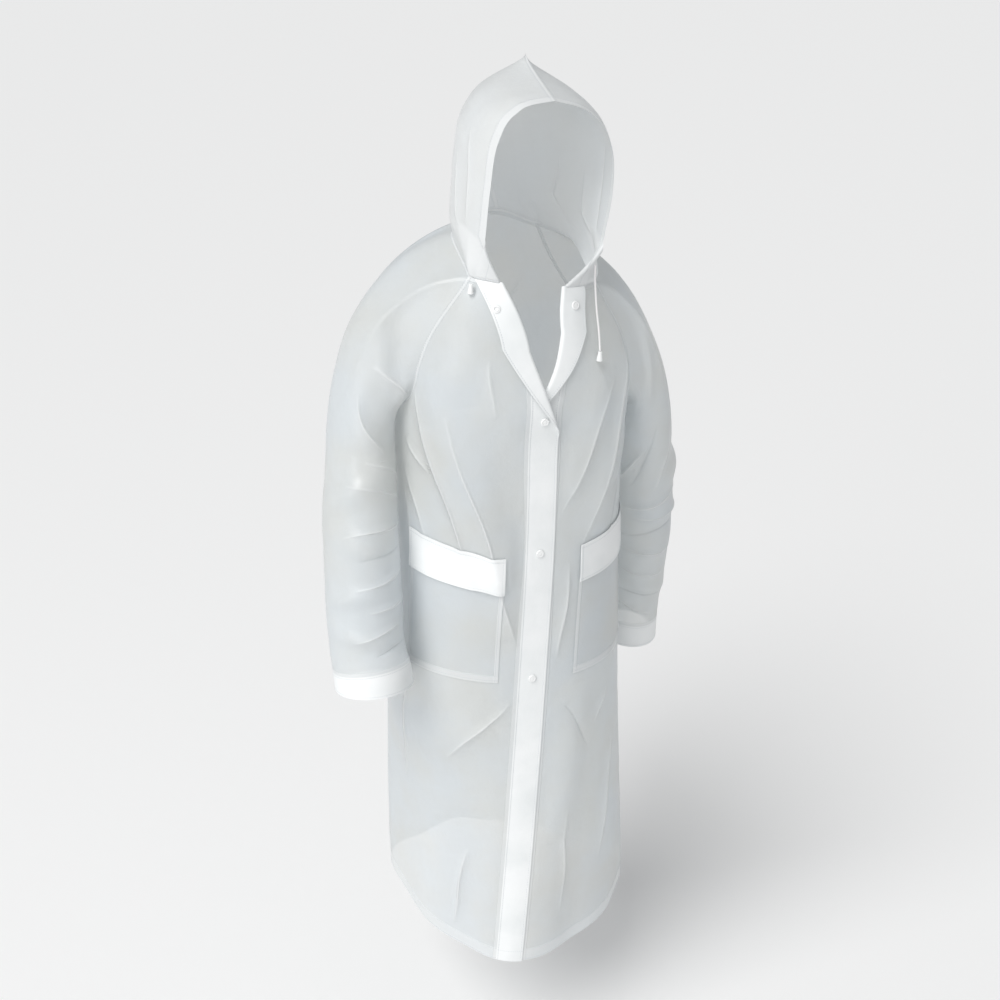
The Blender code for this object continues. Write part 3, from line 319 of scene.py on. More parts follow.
COLLAR_WHITE_TOP = 0.42     # and up to this share of its rows
COLLAR_WHITE_END = 0.105    # over which that ends
OPAQUE = 2.0                # whiteness of film that nothing shows through
WRINKLE = ((14.0, 0.0011), (37.0, 0.0004))     # waves per metre and height of the small unevenness
EDGE_CALM = 0.016           # creases and wrinkles die out this close to a seam
SLEEVE_ROUND = 0.38         # round and long size of a sleeve that its creases are measured in
SLEEVE_LONG = 0.69
HOOD_TALL = 0.26

# Width of the doubled film along each edge of a panel, none where 0: first and last column, first and last row.
DOUBLED = {
    "front": (0.006, 0.003, 0.026, 0.006),
    "back": (0.003, 0.003, 0.026, 0.006),
    "sleeve": (0.004, 0.0, 0.003, 0.006),
    "hood": (0.017, 0.003, 0.006, 0.003),
    "pocket": (0.007, 0.007, 0.0135, 0.02),
    "band": (0.0035, 0.003, 0.022, 0.0),
    "cuff": (0.0, 0.0, 0.003, 0.0035),
    "flap": (0.004, 0.004, 0.004, 0.0055),
}
# Rows of stitches along a panel's edges, by their distance from the edge.
SEWING = {
    "band": (("first_column", 0.0035), ("last_column", 0.003), ("first_row", 0.022)),
    "front": (("first_row", 0.0235), ("first_row", 0.003), ("last_column", 0.0022)),
    "back": (("first_row", 0.0235), ("first_row", 0.003), ("last_column", 0.0022), ("first_column", 0.0022)),
    "sleeve": (("first_row", 0.0022),),
    "cuff": (("first_row", 0.003), ("last_row", 0.0035)),
    "hood": (("first_column", 0.015), ("first_row", 0.004), ("last_row", 0.004)),
    "pocket": (("first_column", 0.0045), ("last_column", 0.0045), ("first_row", 0.004), ("first_row", 0.0115)),
    "flap": (("first_column", 0.004), ("last_column", 0.004), ("first_row", 0.004), ("last_row", 0.0055)),
}
STITCH_PITCH = 0.0036
STITCH_LENGTH = 0.0027
STITCH_WIDTH = 0.0007
STITCH_HEIGHT = 0.00035
STITCH_AHEAD = 0.001        # where the direction of a stitch is read
FLAP_STAND = 0.002          # a flap's lower edge stands this far off the pocket
NO_EDGE = 99.0              # stands for the distance from an edge that isn't doubled
OPAQUE_KINDS = ("band", "cuff", "flap")

# Profiles of the turned pieces, from the foot up: radius and height.
TURNED_SIDES = 48
TURNED_SHARP = math.radians(35)
TRIM_SHARP = math.radians(50)
SNAP_HEIGHT = 0.0022
SNAP_DOME = (
    (0.0, 0.0), (0.0058, 0.0), (0.0062, 0.0004), (0.0062, 0.001), (0.0057, 0.0017), (0.0048, 0.0021),
    (0.0041, 0.002), (0.0037, 0.0017), (0.0032, 0.0018), (0.002, 0.0021), (0.0, 0.0022),
)
SNAP_SOCKET = (
    (0.0, 0.0), (0.0058, 0.0), (0.0062, 0.0004), (0.0062, 0.0009), (0.0056, 0.0014), (0.0044, 0.0015),
    (0.0038, 0.0022), (0.0029, 0.0022), (0.0024, 0.0017), (0.0022, 0.0009), (0.0, 0.0008),
)
BELL = (
    (0.0, 0.003), (0.0026, 0.0027), (0.0034, 0.0004), (0.004, 0.0), (0.0046, 0.0006), (0.0045, 0.0022),
    (0.004, 0.0048), (0.0034, 0.008), (0.0029, 0.0106), (0.0031, 0.0116), (0.0031, 0.0126), (0.0026, 0.0137),
    (0.0017, 0.014), (0.0, 0.014),
)

# Colours, linear.
FILM_COLOUR = (0.75, 0.772, 0.778)
FILM_WARM = (0.775, 0.79, 0.775)
FILM_COOL = (0.76, 0.8, 0.825)
FILM_DOUBLED = (0.87, 0.885, 0.89)
FILM_CLEAR = 0.2            # share of what lies behind that one layer lets through
FILM_TRANSLUCENCY = 0.2
CLOUD_HIDES = 0.16          # how much of the view through the film's cloudiness takes, and its milkiness with the crests' painted highlight and shade
MILK_AND_CREST_HIDES = 0.16
LAYER_LIGHTENS = 0.5        # how far a second layer brings the doubled film's colour, and the milkiness with the crests' painted highlight and shade
MILK_AND_CREST_LIGHTENS = 0.7
FILM_EDGE = 0.08            # share of a doubled edge's width over which it ends
TRIM_EDGE = 0.3
TRIM_COLOUR = (0.94, 0.955, 0.96)
TRIM_SHADE = (0.85, 0.875, 0.88)
THREAD_COLOUR = (0.52, 0.56, 0.6)
SNAP_COLOUR = (0.92, 0.93, 0.93)
CORD_COLOUR = (0.9, 0.89, 0.89)
# painted shade in the grooves of the cord's braid
CORD_GROOVE_SHADE = (0.7, 0.68, 0.69)
FLOOR_COLOUR = (0.96, 0.96, 0.96)

# Light: name, kind, place, aim, power, size, colour.
WORLD_STRENGTH = 0.39
WORLD_COLOUR = (0.97, 0.985, 1.0, 1.0)
LIGHTS = (
    ("key", "SUN", (-3.3, -1.9, 4.2), (0.0, 0.0, -0.5), 1.95, math.radians(34.0), (1.0, 0.995, 0.985)),
    ("side", "AREA", (-3.2, -2.2, 0.5), (0.0, 0.0, -0.4), 24.0, 2.0, (1.0, 1.0, 1.0)),
)

# Camera, from the photograph, and the studio.
CAMERA_AZIMUTH = -20.0
CAMERA_PITCH = 26.0
CAMERA_ROLL = 3.0
CAMERA_DISTANCE = 1.9
CAMERA_HEIGHT = 0.52
SENSOR = 36.0
LENS = 1.33 * SENSOR
FLOOR = -1.46
FLOOR_SIZE = 160.0


# ---- small helpers
def hermite(start, start_slope, end, end_slope, t):
    return ((2 * t**3 - 3 * t**2 + 1) * start + (t**3 - 2 * t**2 + t) * start_slope
            + (3 * t**2 - 2 * t**3) * end + (t**3 - t**2) * end_slope)


def table_at(table, at):
    """Values of a table's rows at one or many keys, on smooth curves through its rows."""
    rows = np.array(table, dtype=float)
    keys = rows[:, 0]
    values = rows[:, 1:]
    slopes = np.gradient(values, keys, axis=0)
    at = np.clip(np.asarray(at, dtype=float), keys[0], keys[-1])
    low = np.clip(np.searchsorted(keys, at) - 1, 0, len(keys) - 2)
    span = np.asarray(keys[low + 1] - keys[low])[..., None]
    t = np.asarray(at - keys[low])[..., None] / span
    return hermite(values[low], span * slopes[low], values[low + 1], span * slopes[low + 1], t)


def ease(value):
    value = np.clip(value, 0.0, 1.0)
    return value * value * (3 - 2 * value)


def unit(vectors):
    return vectors / np.maximum(np.linalg.norm(vectors, axis=-1, keepdims=True), 1e-12)


def lengths(points):
    """Distance of each point from the first, along the lines through them."""
    steps = np.linalg.norm(np.diff(points, axis=-2), axis=-1)
    return np.concatenate((np.zeros((*steps.shape[:-1], 1)), np.cumsum(steps, axis=-1)), axis=-1)


def sampled(values, along, distances):
    return np.stack([np.interp(distances, along, values[:, axis]) for axis in range(3)], axis=1)


def at_distances(points, distances):
    return sampled(points, lengths(points), distances)


def on_lines(values, along, distances):
    """Values at one distance along each of many lines."""
    rows = np.arange(len(along))
    low = np.clip((along < distances[:, None]).sum(axis=1) - 1, 0, along.shape[1] - 2)
    part = (distances - along[rows, low]) / (along[rows, low + 1] - along[rows, low])
    part = np.clip(part, 0, 1)[:, None]
    return values[rows, low] * (1 - part) + values[rows, low + 1] * part


# ---- body panels
def sections(heights, back):
    """Quarters of the body's oval at heights, from the centre line to the side."""
    half_width, front, rear, exponent = (value[:, None] for value in table_at(TORSO, heights).T)
    angle = np.linspace(0, math.pi / 2, ARC_STEPS)
    x = half_width * np.sin(angle) ** (2 / exponent)
    depth = np.maximum(np.cos(angle), 0) ** (2 / exponent)
    y = rear * depth if back else -front * depth
    return np.stack([x, y, np.broadcast_to(np.asarray(heights)[:, None], x.shape)], axis=-1)


def body_points(distances, heights, side, back=False):
    """Points of the body's surface at distances from the centre line, towards one side."""
    lines = sections(np.broadcast_to(heights, distances.shape).ravel(), back)
    points = on_lines(lines, lengths(lines), np.abs(distances).ravel())
    points[:, 0] *= side * np.where(distances.ravel() >= 0, 1.0, -1.0)
    return points.reshape(*distances.shape, 3)


def seam_rows():
    """Height and outer reach of every row, in front and behind: side seam first, then raglan seam."""
    low = [HEM]
    for stop, rows in LOWER_ROWS:
        low.extend(np.linspace(low[-1], stop, rows + 1)[1:])
    shares = np.arange(1, RAGLAN_ROWS + 1) / RAGLAN_ROWS
    front_z, front_share, back_z, back_share = table_at(RAGLAN, shares).T
    made = []
    for heights, share, back in ((front_z, front_share, False), (back_z, back_share, True)):
        heights = np.concatenate((low, heights))
        share = np.concatenate((np.ones(len(low)), share))
        made += [heights, share * lengths(sections(heights, back))[:, -1]]
    return made


def straightened(row, step):
    """A row whose points lie straight between every `step`-th one, as on the coarser hood."""
    kept = np.arange(0, len(row), step)
    return np.stack([np.interp(np.arange(len(row)), kept, row[kept, axis]) for axis in range(3)], axis=1)


def front_grids():
    """Both fronts and bands. Columns start at the free edge and go outwards."""
    grids = {}
    inner, outer = POCKET_COLUMNS
    heights, reach = seam_rows()[:2]
    for index, (name, side) in enumerate(SIDES.items()):
        seam = table_at(OPENING, heights)[:, index]
        inset = POCKET_INSET[name]
        level = np.ones_like(seam)
        fixed = np.concatenate((
            np.linspace(seam, level * inset, inner + 1),
            np.linspace(level * inset, level * (inset + POCKET_WIDTH), outer - inner + 1)[1:],
            np.linspace(level * (inset + POCKET_WIDTH), reach, FRONT_COLUMNS - outer + 1)[1:],
        )).T
        even = np.linspace(seam, reach, FRONT_COLUMNS + 1).T
        share = ease((heights - FLAP_TOP) / (UNDERARM - FLAP_TOP))[:, None]
        distances = fixed * (1 - share) + even * share
        slant = FLAP_SLANT * np.exp(-((heights - FLAP_TOP) / SLANT_FADE) ** 2)[:, None]
        inside = np.clip((reach[:, None] - distances) / SLANT_EDGE, 0, 1) * np.clip(distances / SLANT_EDGE, 0, 1)
        slanted = heights[:, None] + slant * inside * (distances - inset - POCKET_WIDTH / 2)
        slanted[:, 0] = heights
        front = body_points(distances, slanted, side)
        front[-1] = straightened(front[-1], NECK_STEP_FRONT)
        band = distances[:, :1] - BAND_WIDTH * np.linspace(1, 0, BAND_COLUMNS + 1)
        grids["band_" + name] = body_points(band, heights[:, None], side)
        grids["front_" + name] = front
    return grids


def back_grid():
    """The back, from the right side to the left."""
    heights, reach = seam_rows()[2:]
    share = np.linspace(0, 1, BACK_HALF_COLUMNS + 1)
    place = (np.arange(len(heights)) - len(heights) + 1 + RAGLAN_ROWS) / RAGLAN_ROWS
    rise = BACK_NECK_RISE * ease(place)[:, None] * np.cos(share * math.pi / 2) ** 2
    left = body_points(share * reach[:, None], heights[:, None] + rise, 1.0, back=True)
    right = left * np.array([-1, 1, 1])
    grid = np.concatenate((right[:, :0:-1], left), axis=1)
    grid[-1] = straightened(grid[-1], NECK_STEP_BACK)
    return grid


# ---- sleeves
def arm_frame(name, share):
    """Centre of a sleeve's section, its outward and forward directions and its half sizes."""
    side = SIDES[name]
    flip = np.array([side, 1, 1])
    values = table_at(ARM[name], share)
    ahead = table_at(ARM[name], min(share + SLOPE_STEP, 1.0))
    behind = table_at(ARM[name], max(share - SLOPE_STEP, 0.0))
    axis = unit((ahead[:3] - behind[:3]) * flip)
    outward = unit(np.array([side, 0, 0]) - axis * axis[0] * side)
    forward = np.cross(axis, outward) * side
    forward = -forward if forward[1] > 0 else forward
    return values[:3] * flip, axis, outward, forward, values[3], values[4]


def arm_ring(name, share, columns):
    """A sleeve's section: it starts next to the body and goes round by the front."""
    centre, _, outward, forward, across, deep = arm_frame(name, share)
    angle = np.linspace(0, 2 * math.pi, columns, endpoint=False)[:, None]
    return centre - outward * across * np.cos(angle) + forward * deep * np.sin(angle)


def neck_line(front_top, back_top):
    """The neck seam over the shoulder, from a front's raglan seam to the back's."""
    middle = np.array(NECK_SIDE) * np.array([math.copysign(1.0, front_top[0]), 1, 1])
    slope = (back_top - front_top) * NECK_PULL
    t = np.linspace(0, 1, NECK_COLUMNS // 2 + 1)[:, None]
    return np.concatenate((hermite(front_top, slope, middle, slope, t),
                           hermite(middle, slope, back_top, slope, t)[1:]))


def sleeve_grid(name, front, back):
    """A raglan sleeve. Columns run from the underarm up the front seam and down the back one."""
    side = SIDES[name]
    first = len(front) - 1 - RAGLAN_ROWS
    outer, inner = (-1, -2) if name == "left" else (0, 1)
    front_seam = front[first:, -1]
    back_seam = back[first:, outer]
    neck = neck_line(front_seam[-1], back_seam[-1])
    contour = np.concatenate((front_seam[:-1], neck[:-1], back_seam[:0:-1]))
    columns = len(contour)
    front_away = unit(front_seam - front[first:, -2])
    back_away = unit(back_seam - back[first:, inner])
    neck_away = np.array([unit(np.array([side, 0.0, SHOULDER_SLOPE]))] * (NECK_COLUMNS - 1))
    away = np.concatenate((front_away, neck_away, back_away[:0:-1]))
    place = np.minimum(np.arange(columns), columns - np.arange(columns)) / RAGLAN_ROWS
    follow = ease((place - FOLLOW_FROM) / (1 - FOLLOW_FROM))[:, None]
    away = unit(away * follow + np.array(UNDERARM_AWAY) * np.array([side, 1, 1]) * (1 - follow))
    for _ in range(AWAY_ROUNDS):
        away = unit(away * 2 + np.roll(away, 1, axis=0) + np.roll(away, -1, axis=0))
    upper = arm_ring(name, 0.0, columns)
    axis = arm_frame(name, 0.0)[1]
    span = np.linalg.norm(upper - contour, axis=1)[:, None]
    rows = [hermite(contour, away * span * YOKE_LEAVES, upper, axis * span * YOKE_ARRIVES, t)
            for t in np.linspace(0, 1, YOKE_ROWS + 1)]
    rows += [arm_ring(name, CUFF_SHARE * row / ARM_ROWS, columns) for row in range(1, ARM_ROWS + 1)]
    return np.array(rows)


def cuff_grid(name, columns):
    return np.array([arm_ring(name, share, columns) for share in np.linspace(CUFF_SHARE, 1.0, CUFF_ROWS + 1)])


# ---- hood
def hood_row(share, side):
    """One row of a hood's half, from the rim round to the centre back, as a dense line."""
    front_z, back_z, rim, wide, front_y, back_y, turn, shift = table_at(HOOD, share)
    drawn = [(wide * out, front_y + (back_y - front_y) * deep, front_z + (back_z - front_z) * up)
             for out, deep, up in HOOD_HANDLES]
    hold = ((rim, front_y, front_z), *drawn, (0.0, back_y, back_z))
    t = np.linspace(0, 1, ARC_STEPS)[:, None]
    weights = ((1 - t) ** 3, 3 * t * (1 - t) ** 2, 3 * t**2 * (1 - t), t**3)
    line = sum(weight * np.array(point) for weight, point in zip(weights, hold))
    line[:, 0] *= side
    angle = math.radians(turn)
    x = line[:, 0] * math.cos(angle) - line[:, 1] * math.sin(angle) + shift
    y = line[:, 0] * math.sin(angle) + line[:, 1] * math.cos(angle)
    return np.stack([x, y, line[:, 2]], axis=1)


def hood_base(name, grids):
    """A hood half's neck seam, from the band's seam round to the centre back."""
    middle = BACK_HALF_COLUMNS
    back_top = grids["back"][-1, middle:] if name == "left" else grids["back"][-1, middle::-1]
    neck = grids["sleeve_" + name][0, RAGLAN_ROWS:RAGLAN_ROWS + NECK_COLUMNS + 1]
    return np.concatenate((
        grids["front_" + name][-1][::NECK_STEP_FRONT],
        neck[1:],
        back_top[::-1][NECK_STEP_BACK::NECK_STEP_BACK],
    ))


def evenly(line):
    return at_distances(line, np.linspace(0, lengths(line)[-1], ARC_STEPS))


def collar_line(name, base, share):
    """The hood's collar at a share of its height, from the roll line to the centre back."""
    side = SIDES[name]
    parts = np.linspace(0, 1, ARC_STEPS)[:, None]
    crown = evenly(hood_row(0.0, side))
    rising = (evenly(hood_row(HOOD_STEP, side)) - crown) / HOOD_STEP * HOOD_RISE
    leaving = np.array(COLLAR_FRONT[name]) * (1 - parts) + np.array(COLLAR_BACK) * parts
    leaving[:, 0] *= side
    return hermite(evenly(base), leaving, crown, rising, share)


def collar_row(name, base, shares, share):
    """The hood's columns at a share of the collar's height, its corner rolled back."""
    line = collar_line(name, base, share)
    up = collar_line(name, base, share + SLOPE_STEP) - collar_line(name, base, share - SLOPE_STEP)
    normals = unit(np.cross(np.gradient(line, axis=0), up)) * SIDES[name]
    turn = turned_width((1 - share) * BAND_COLUMNS)
    rest = BAND_WIDTH - turn
    beyond = rest + (lengths(line)[-1] - rest) * shares[1:]
    own = BAND_WIDTH * np.linspace(0, 1, BAND_COLUMNS + 1) - turn
    return rolled_row(line, normals, np.concatenate((own, beyond)))


def hood_points(share, side, shares):
    """The hood's columns in one row above the collar: the band's width first, then by shares."""
    line = hood_row(share, side)
    rest = lengths(line)[-1] - BAND_WIDTH
    rim_part = BAND_WIDTH * np.linspace(0, 1, BAND_COLUMNS + 1)
    return at_distances(line, np.concatenate((rim_part, BAND_WIDTH + rest * shares[1:])))


def hood_grids(grids):
    """Both halves of the hood. First row at the neck seam, last one along the ridge over the head."""
    bases = {name: hood_base(name, grids) for name in SIDES}
    beyond = [lengths(base) for base in bases.values()]
    shares = sum(line / line[-1] for line in beyond) / len(beyond)
    made = {}
    for name, side in SIDES.items():
        base = bases[name]
        collar = [collar_row(name, base, shares, row / HOOD_COLLAR_ROWS) for row in range(HOOD_COLLAR_ROWS)]
        collar[0] = np.concatenate((grids["band_" + name][-1][:-1], base))
        crown = [hood_points(row / HOOD_CROWN_ROWS, side, shares) for row in range(HOOD_CROWN_ROWS + 1)]
        made["hood_" + name] = np.array(collar + crown)
    return made


# ---- folds and rolls
def near_line(u, v, start, end):
    """Distance of panel points from a line between two panel points, and the nearest place along it."""
    run = np.subtract(end, start)
    off = np.stack((u, v), axis=-1) - np.array(start)
    t = np.clip(off @ run / (run @ run), 0, 1)
    return off - t[..., None] * run, t


def panel_folds(points, folds, name, edges):
    """Rise of a panel's largest folds at its points; they die out at its edges."""
    across = lengths(points)
    rise = np.zeros(points.shape[:2])
    for side, from_d, from_z, to_d, to_z, spread, height in folds:
        if side != name:
            continue
        off, t = near_line(np.abs(across + edges[:, None]), points[..., 2], (from_d, from_z), (to_d, to_z))
        soft = np.sqrt(np.maximum(np.sin(math.pi * t), 0))
        rise += height * np.exp(-(np.linalg.norm(off, axis=-1) / spread) ** 2) * soft
    rise *= ease(np.minimum(across, across[:, -1:] - across) / FOLD_ROOM)
    rise[-1] = 0.0
    return rise


def flare(points):
    """Rise of the skirt's waves, none above their top."""
    angle = np.degrees(np.arctan2(points[..., 0], -points[..., 1]))
    rise = np.zeros(points.shape[:-1])
    for at, spread, height in HEM_FLARES:
        rise += height * np.exp(-(((angle - at + 180) % 360 - 180) / spread) ** 2)
    return rise * ease((FLARE_TOP - points[..., 2]) / (FLARE_TOP - HEM))


def sleeve_folds(name, rows, columns):
    """Rise of a sleeve's folds; none at its ends or next to the body."""
    along = np.linspace(0, 1, rows)[:, None]
    around = (360 * np.arange(columns) / columns - 180)[None, :]
    rise = np.zeros((rows, columns))
    for side, at, at_deg, slant, long, wide, height in SLEEVE_FOLDS:
        if side == name:
            off = along - at - slant * np.radians(around - at_deg) / math.pi
            rise += height * np.exp(-(off / long) ** 2 - ((around - at_deg) / wide) ** 2)
    inside = ease((FOLDS_AROUND - np.abs(around)) / FOLDS_FADE)
    return rise * inside * ease(along / FOLDS_TOP) * ease((1 - along) / FOLDS_FOOT)


def lap_lift(name, height, beyond):
    """How far the right front is lifted to lie over the left one."""
    if name == "left":
        return np.zeros(np.broadcast(height, beyond).shape)
    rise = LAP_LIFT * ease((LAP_FROM - height) / LAP_BEGINS)
    rise = rise + BREAK_LIFT * np.exp(-((height - BREAK_HEIGHT) / BREAK_REACH) ** 2)
    return rise * (1 - ease(beyond / LAP_FADE))


def turned_width(columns):
    """Width of a band that is rolled back."""
    return BAND_WIDTH / BAND_COLUMNS * max(min(columns, BAND_COLUMNS) - ROLL_OFFSET, 0.0)


def rolled_row(line, normals, distances):
    """Points at distances from a roll line; those before it are rolled over and lie back on the row."""
    towards = unit(line[0] - at_distances(line, [2 * ROLL_RADIUS])[0])
    bend = math.pi * ROLL_RADIUS
    made = at_distances(line, distances)
    angle = (-distances / ROLL_RADIUS)[:, None]
    over = (line[0] + towards * ROLL_RADIUS * np.sin(angle)
            + unit(normals[0]) * ROLL_RADIUS * (1 - np.cos(angle)))
    place = np.maximum(-distances - bend, 0)
    lying = at_distances(line, place) + unit(sampled(normals, lengths(line), place)) * 2 * ROLL_RADIUS
    bent = ((distances < 0) & (-distances < bend))[:, None]
    return np.where(bent, over, np.where((distances < 0)[:, None], lying, made))


def turned_back(points, normals, turn):
    """A row whose first `turn` metres are rolled over."""
    along = lengths(points)
    kept = along > turn
    line = np.concatenate((at_distances(points, [turn]), points[kept]))
    line_normals = np.concatenate((sampled(normals, along, [turn]), normals[kept]))
    rolled = rolled_row(line, line_normals, along - turn)
    rolled[kept] = points[kept]
    return rolled


def turn_bands(name, grids, normals):
    """Rolls the open part of a front band outwards."""
    band = grids["band_" + name]
    front = grids["front_" + name]
    for row in range(len(band)):
        turn = turned_width(row - (len(band) - 1 - RAGLAN_ROWS) - TURN_FROM[name])
        if turn > 0:
            line = np.concatenate((band[row], front[row, 1:]))
            line_normals = np.concatenate((normals["band_" + name][row], normals["front_" + name][row, 1:]))
            band[row] = turned_back(line, line_normals, turn)[:BAND_COLUMNS + 1]


# ---- normals
def is_closed(name):
    return name.startswith(("sleeve", "cuff"))


def facing_of(name):
    """1 where columns times rows points outwards on a panel, otherwise -1."""
    inwards = name == "back" or name.endswith("right") != is_closed(name)
    return -1.0 if inwards else 1.0


def corner_sums(name, grid):
    """Sum of the facing directions of the quads round every grid point, and their number."""
    across = np.concatenate((grid, grid[:, :1]), axis=1) if is_closed(name) else grid
    faces = unit(np.cross(across[1:, 1:] - across[:-1, :-1], across[1:, :-1] - across[:-1, 1:]))
    faces = np.concatenate((faces * facing_of(name), np.ones((*faces.shape[:2], 1))), axis=2)
    total = np.zeros((*across.shape[:2], 4))
    for rows in (slice(None, -1), slice(1, None)):
        for columns in (slice(None, -1), slice(1, None)):
            total[rows, columns] += faces
    if is_closed(name):
        total[:, 0] += total[:, -1]
        total = total[:, :-1]
    return total


def shared_normals(grids):
    """Outward directions at every grid point, shared by the panels that meet there.

    Where body and sleeve fold sharply against each other, each keeps its own.
    """
    sizes = [grid[..., 0].size for grid in grids.values()]
    points = np.concatenate([grid.reshape(-1, 3) for grid in grids.values()])
    sums = np.concatenate([corner_sums(name, grid).reshape(-1, 4) for name, grid in grids.items()])
    group = np.repeat([int(is_closed(name)) for name in grids], sizes)
    place = np.unique(np.round(points, 6) + 0.0, axis=0, return_inverse=True)[1].ravel()
    total = np.zeros((place.max() + 1, 2, 4))
    np.add.at(total, (place, group), sums)
    own, other = total[place, group], total[place, 1 - group]
    own = own[:, :3] / np.maximum(own[:, 3:], 1)
    both = (own + other[:, :3] / np.maximum(other[:, 3:], 1)) / 2
    share = (other[:, 3] > 0) & (np.linalg.norm(both, axis=1) >= SHARP)
    parts = np.split(unit(np.where(share[:, None], both, own)), np.cumsum(sizes)[:-1])
    return {name: part.reshape(grid.shape) for (name, grid), part in zip(grids.items(), parts)}


# ---- creases
def panel_sizes(name, grid):
    """The two sizes in which a panel's creases are measured, at every grid point."""
    rows, columns = grid.shape[:2]
    across = lengths(grid)
    if name.startswith("front"):
        index = 0 if name.endswith("right") else 1
        return across + table_at(OPENING, grid[:, 0, 2])[:, index][:, None], grid[..., 2]
    if name == "back":
        return across - across[:, BACK_HALF_COLUMNS][:, None], grid[..., 2]
    up = np.linspace(0, 1, rows)[:, None] * np.ones(columns)
    if name.startswith("hood"):
        return across, up * HOOD_TALL
    around = np.arange(columns) / columns - 0.5
    return np.broadcast_to(around * SLEEVE_ROUND, (rows, columns)), up * SLEEVE_LONG


def edge_rooms(name, grid):
    """Distance of every grid point from its panel's first and last column and from its first and last row."""
    first, low = lengths(grid), np.swapaxes(lengths(np.swapaxes(grid, 0, 1)), 0, 1)
    last = first[:, -1:] - first
    if is_closed(name):
        first = last = np.minimum(first, last + np.linalg.norm(grid[:, :1] - grid[:, -1:], axis=2))
    return first, last, low, low[-1:] - low


def creased(name, grid):
    """Rise of a panel's creases and small unevenness, and where their crests run.

    A crest is given as the signed distance from the nearest crease's line and its strength, from which the film's
    shader draws it sharply between the grid's points, as a bump and, in the film's colour, as painted highlight on
    ridges and painted shade in troughs.
    """
    u, v = panel_sizes(name, grid)
    rise = np.zeros(grid.shape[:2])
    nearest = np.full(grid.shape[:2], np.inf)
    crest = np.zeros((*grid.shape[:2], 2))
    rows = [(panel, row) for panel, rows in CREASES.items() for row in rows]
    for number, (panel, (from_u, from_v, to_u, to_v, spread, height)) in enumerate(rows):
        if panel != name:
            continue
        off, t = near_line(u, v, (from_u, from_v), (to_u, to_v))
        run = unit(np.array((to_u - from_u, to_v - from_v)))
        waver = CREASE_WANDER * np.sin((t * math.hypot(to_u - from_u, to_v - from_v)) * CREASE_WAVE + number)
        sideways = off @ np.array((-run[1], run[0])) - waver * np.sin(math.pi * t)
        away = np.sqrt(sideways**2 + (off @ run) ** 2 + CREASE_CREST**2) - CREASE_CREST
        soft = np.sin(math.pi * t) ** CREASE_TAPER
        rise += height * np.exp(-away / spread) * soft
        closer = away < nearest
        nearest = np.where(closer, away, nearest)
        # the crest's strength also sets its painted highlight on a ridge, its painted shade in a trough, in the
        # film's colour
        strength = height / CREASE_FULL * soft * ease((CREST_REACH - away) / CREST_FADE)
        crest = np.where(closer[..., None], np.stack((sideways * 1000, strength), axis=2), crest)
    seed = 10.0 * len(name) + (5.0 if name.endswith("left") else 0.0)
    for waves, height in WRINKLE:
        uneven = [noise.noise(Vector((a * waves, b * waves, seed + waves))) for a, b in zip(u.ravel(), v.ravel())]
        rise += height * np.array(uneven).reshape(rise.shape)
    rooms = edge_rooms(name, grid)
    calm = ease(np.min(rooms[2:] if is_closed(name) else rooms, axis=0) / EDGE_CALM)
    crest[..., 1] *= calm
    return rise * calm, crest


# ---- the coat's surface
def milk(name, grid):
    """How much whiter and less clear a panel is than plain film, up to opaque."""
    held = np.full(grid.shape[:2], MILK.get(piece_of(name), 0.0))
    if name.startswith("hood"):
        edge = ease((COLLAR_WHITE_WIDTH - lengths(grid)) / COLLAR_WHITE_FADE)
        up = ease((COLLAR_WHITE_TOP - np.linspace(0, 1, grid.shape[0])) / COLLAR_WHITE_END)[:, None]
        held += (OPAQUE - held) * edge * up
    return held


def stance(grid):
    """The wearer's stance: sideways shift, turn and tilt by height."""
    shift, turn, tilt, rise = np.moveaxis(table_at(STANCE, grid[..., 2]), -1, 0)
    cos, sin = np.cos(np.radians(turn)), np.sin(np.radians(turn))
    x, y, z = np.moveaxis(grid, -1, 0)
    return np.stack([x * cos - y * sin + shift, x * sin + y * cos, z + tilt * x + rise * x**2], axis=-1)


def coat_surface():
    """Outer points of every panel with all folds and rolls, their outward directions and their crests."""
    grids = front_grids()
    grids["back"] = back_grid()
    for name in SIDES:
        grids["sleeve_" + name] = sleeve_grid(name, grids["front_" + name], grids["back"])
        grids["cuff_" + name] = cuff_grid(name, grids["sleeve_" + name].shape[1])
    normals = shared_normals(grids)
    crests = {}

    def lifted(name, rise):
        crease, crests[name] = creased(name, grids[name])
        grids[name] = grids[name] + normals[name] * (rise + crease)[..., None]

    for index, name in enumerate(SIDES):
        front, band = grids["front_" + name], grids["band_" + name]
        heights = front[:, 0, 2]
        folds = panel_folds(front, FRONT_FOLDS, name, table_at(OPENING, heights)[:, index])
        lifted("front_" + name, folds + lap_lift(name, heights[:, None], lengths(front)) + flare(front))
        rise = lap_lift(name, band[..., 2], np.zeros(band.shape[:2])) + flare(band)
        grids["band_" + name] = band + normals["band_" + name] * rise[..., None]
        lifted("sleeve_" + name, sleeve_folds(name, *grids["sleeve_" + name].shape[:2]))

    back, centre = grids["back"], BACK_HALF_COLUMNS
    rise = np.zeros(back.shape[:2])
    rise[:, centre:] = panel_folds(back[:, centre:], BACK_FOLDS, "left", np.zeros(len(back)))
    right = panel_folds(back[:, centre::-1], BACK_FOLDS, "right", np.zeros(len(back)))
    rise[:, centre::-1] = np.maximum(rise[:, centre::-1], right)
    lifted("back", rise + flare(back))
    for name in SIDES:
        turn_bands(name, grids, normals)
    grids.update(hood_grids(grids))
    normals = shared_normals(grids)
    for name in SIDES:
        lifted("hood_" + name, 0.0)
    grids = {name: stance(grid) for name, grid in grids.items()}
    normals = shared_normals(grids)
    for name in SIDES:
        add_pockets(name, grids, normals, crests)
    for name, grid in grids.items():
        crests.setdefault(name, np.zeros((*grid.shape[:2], 2)))
    return grids, normals, crests


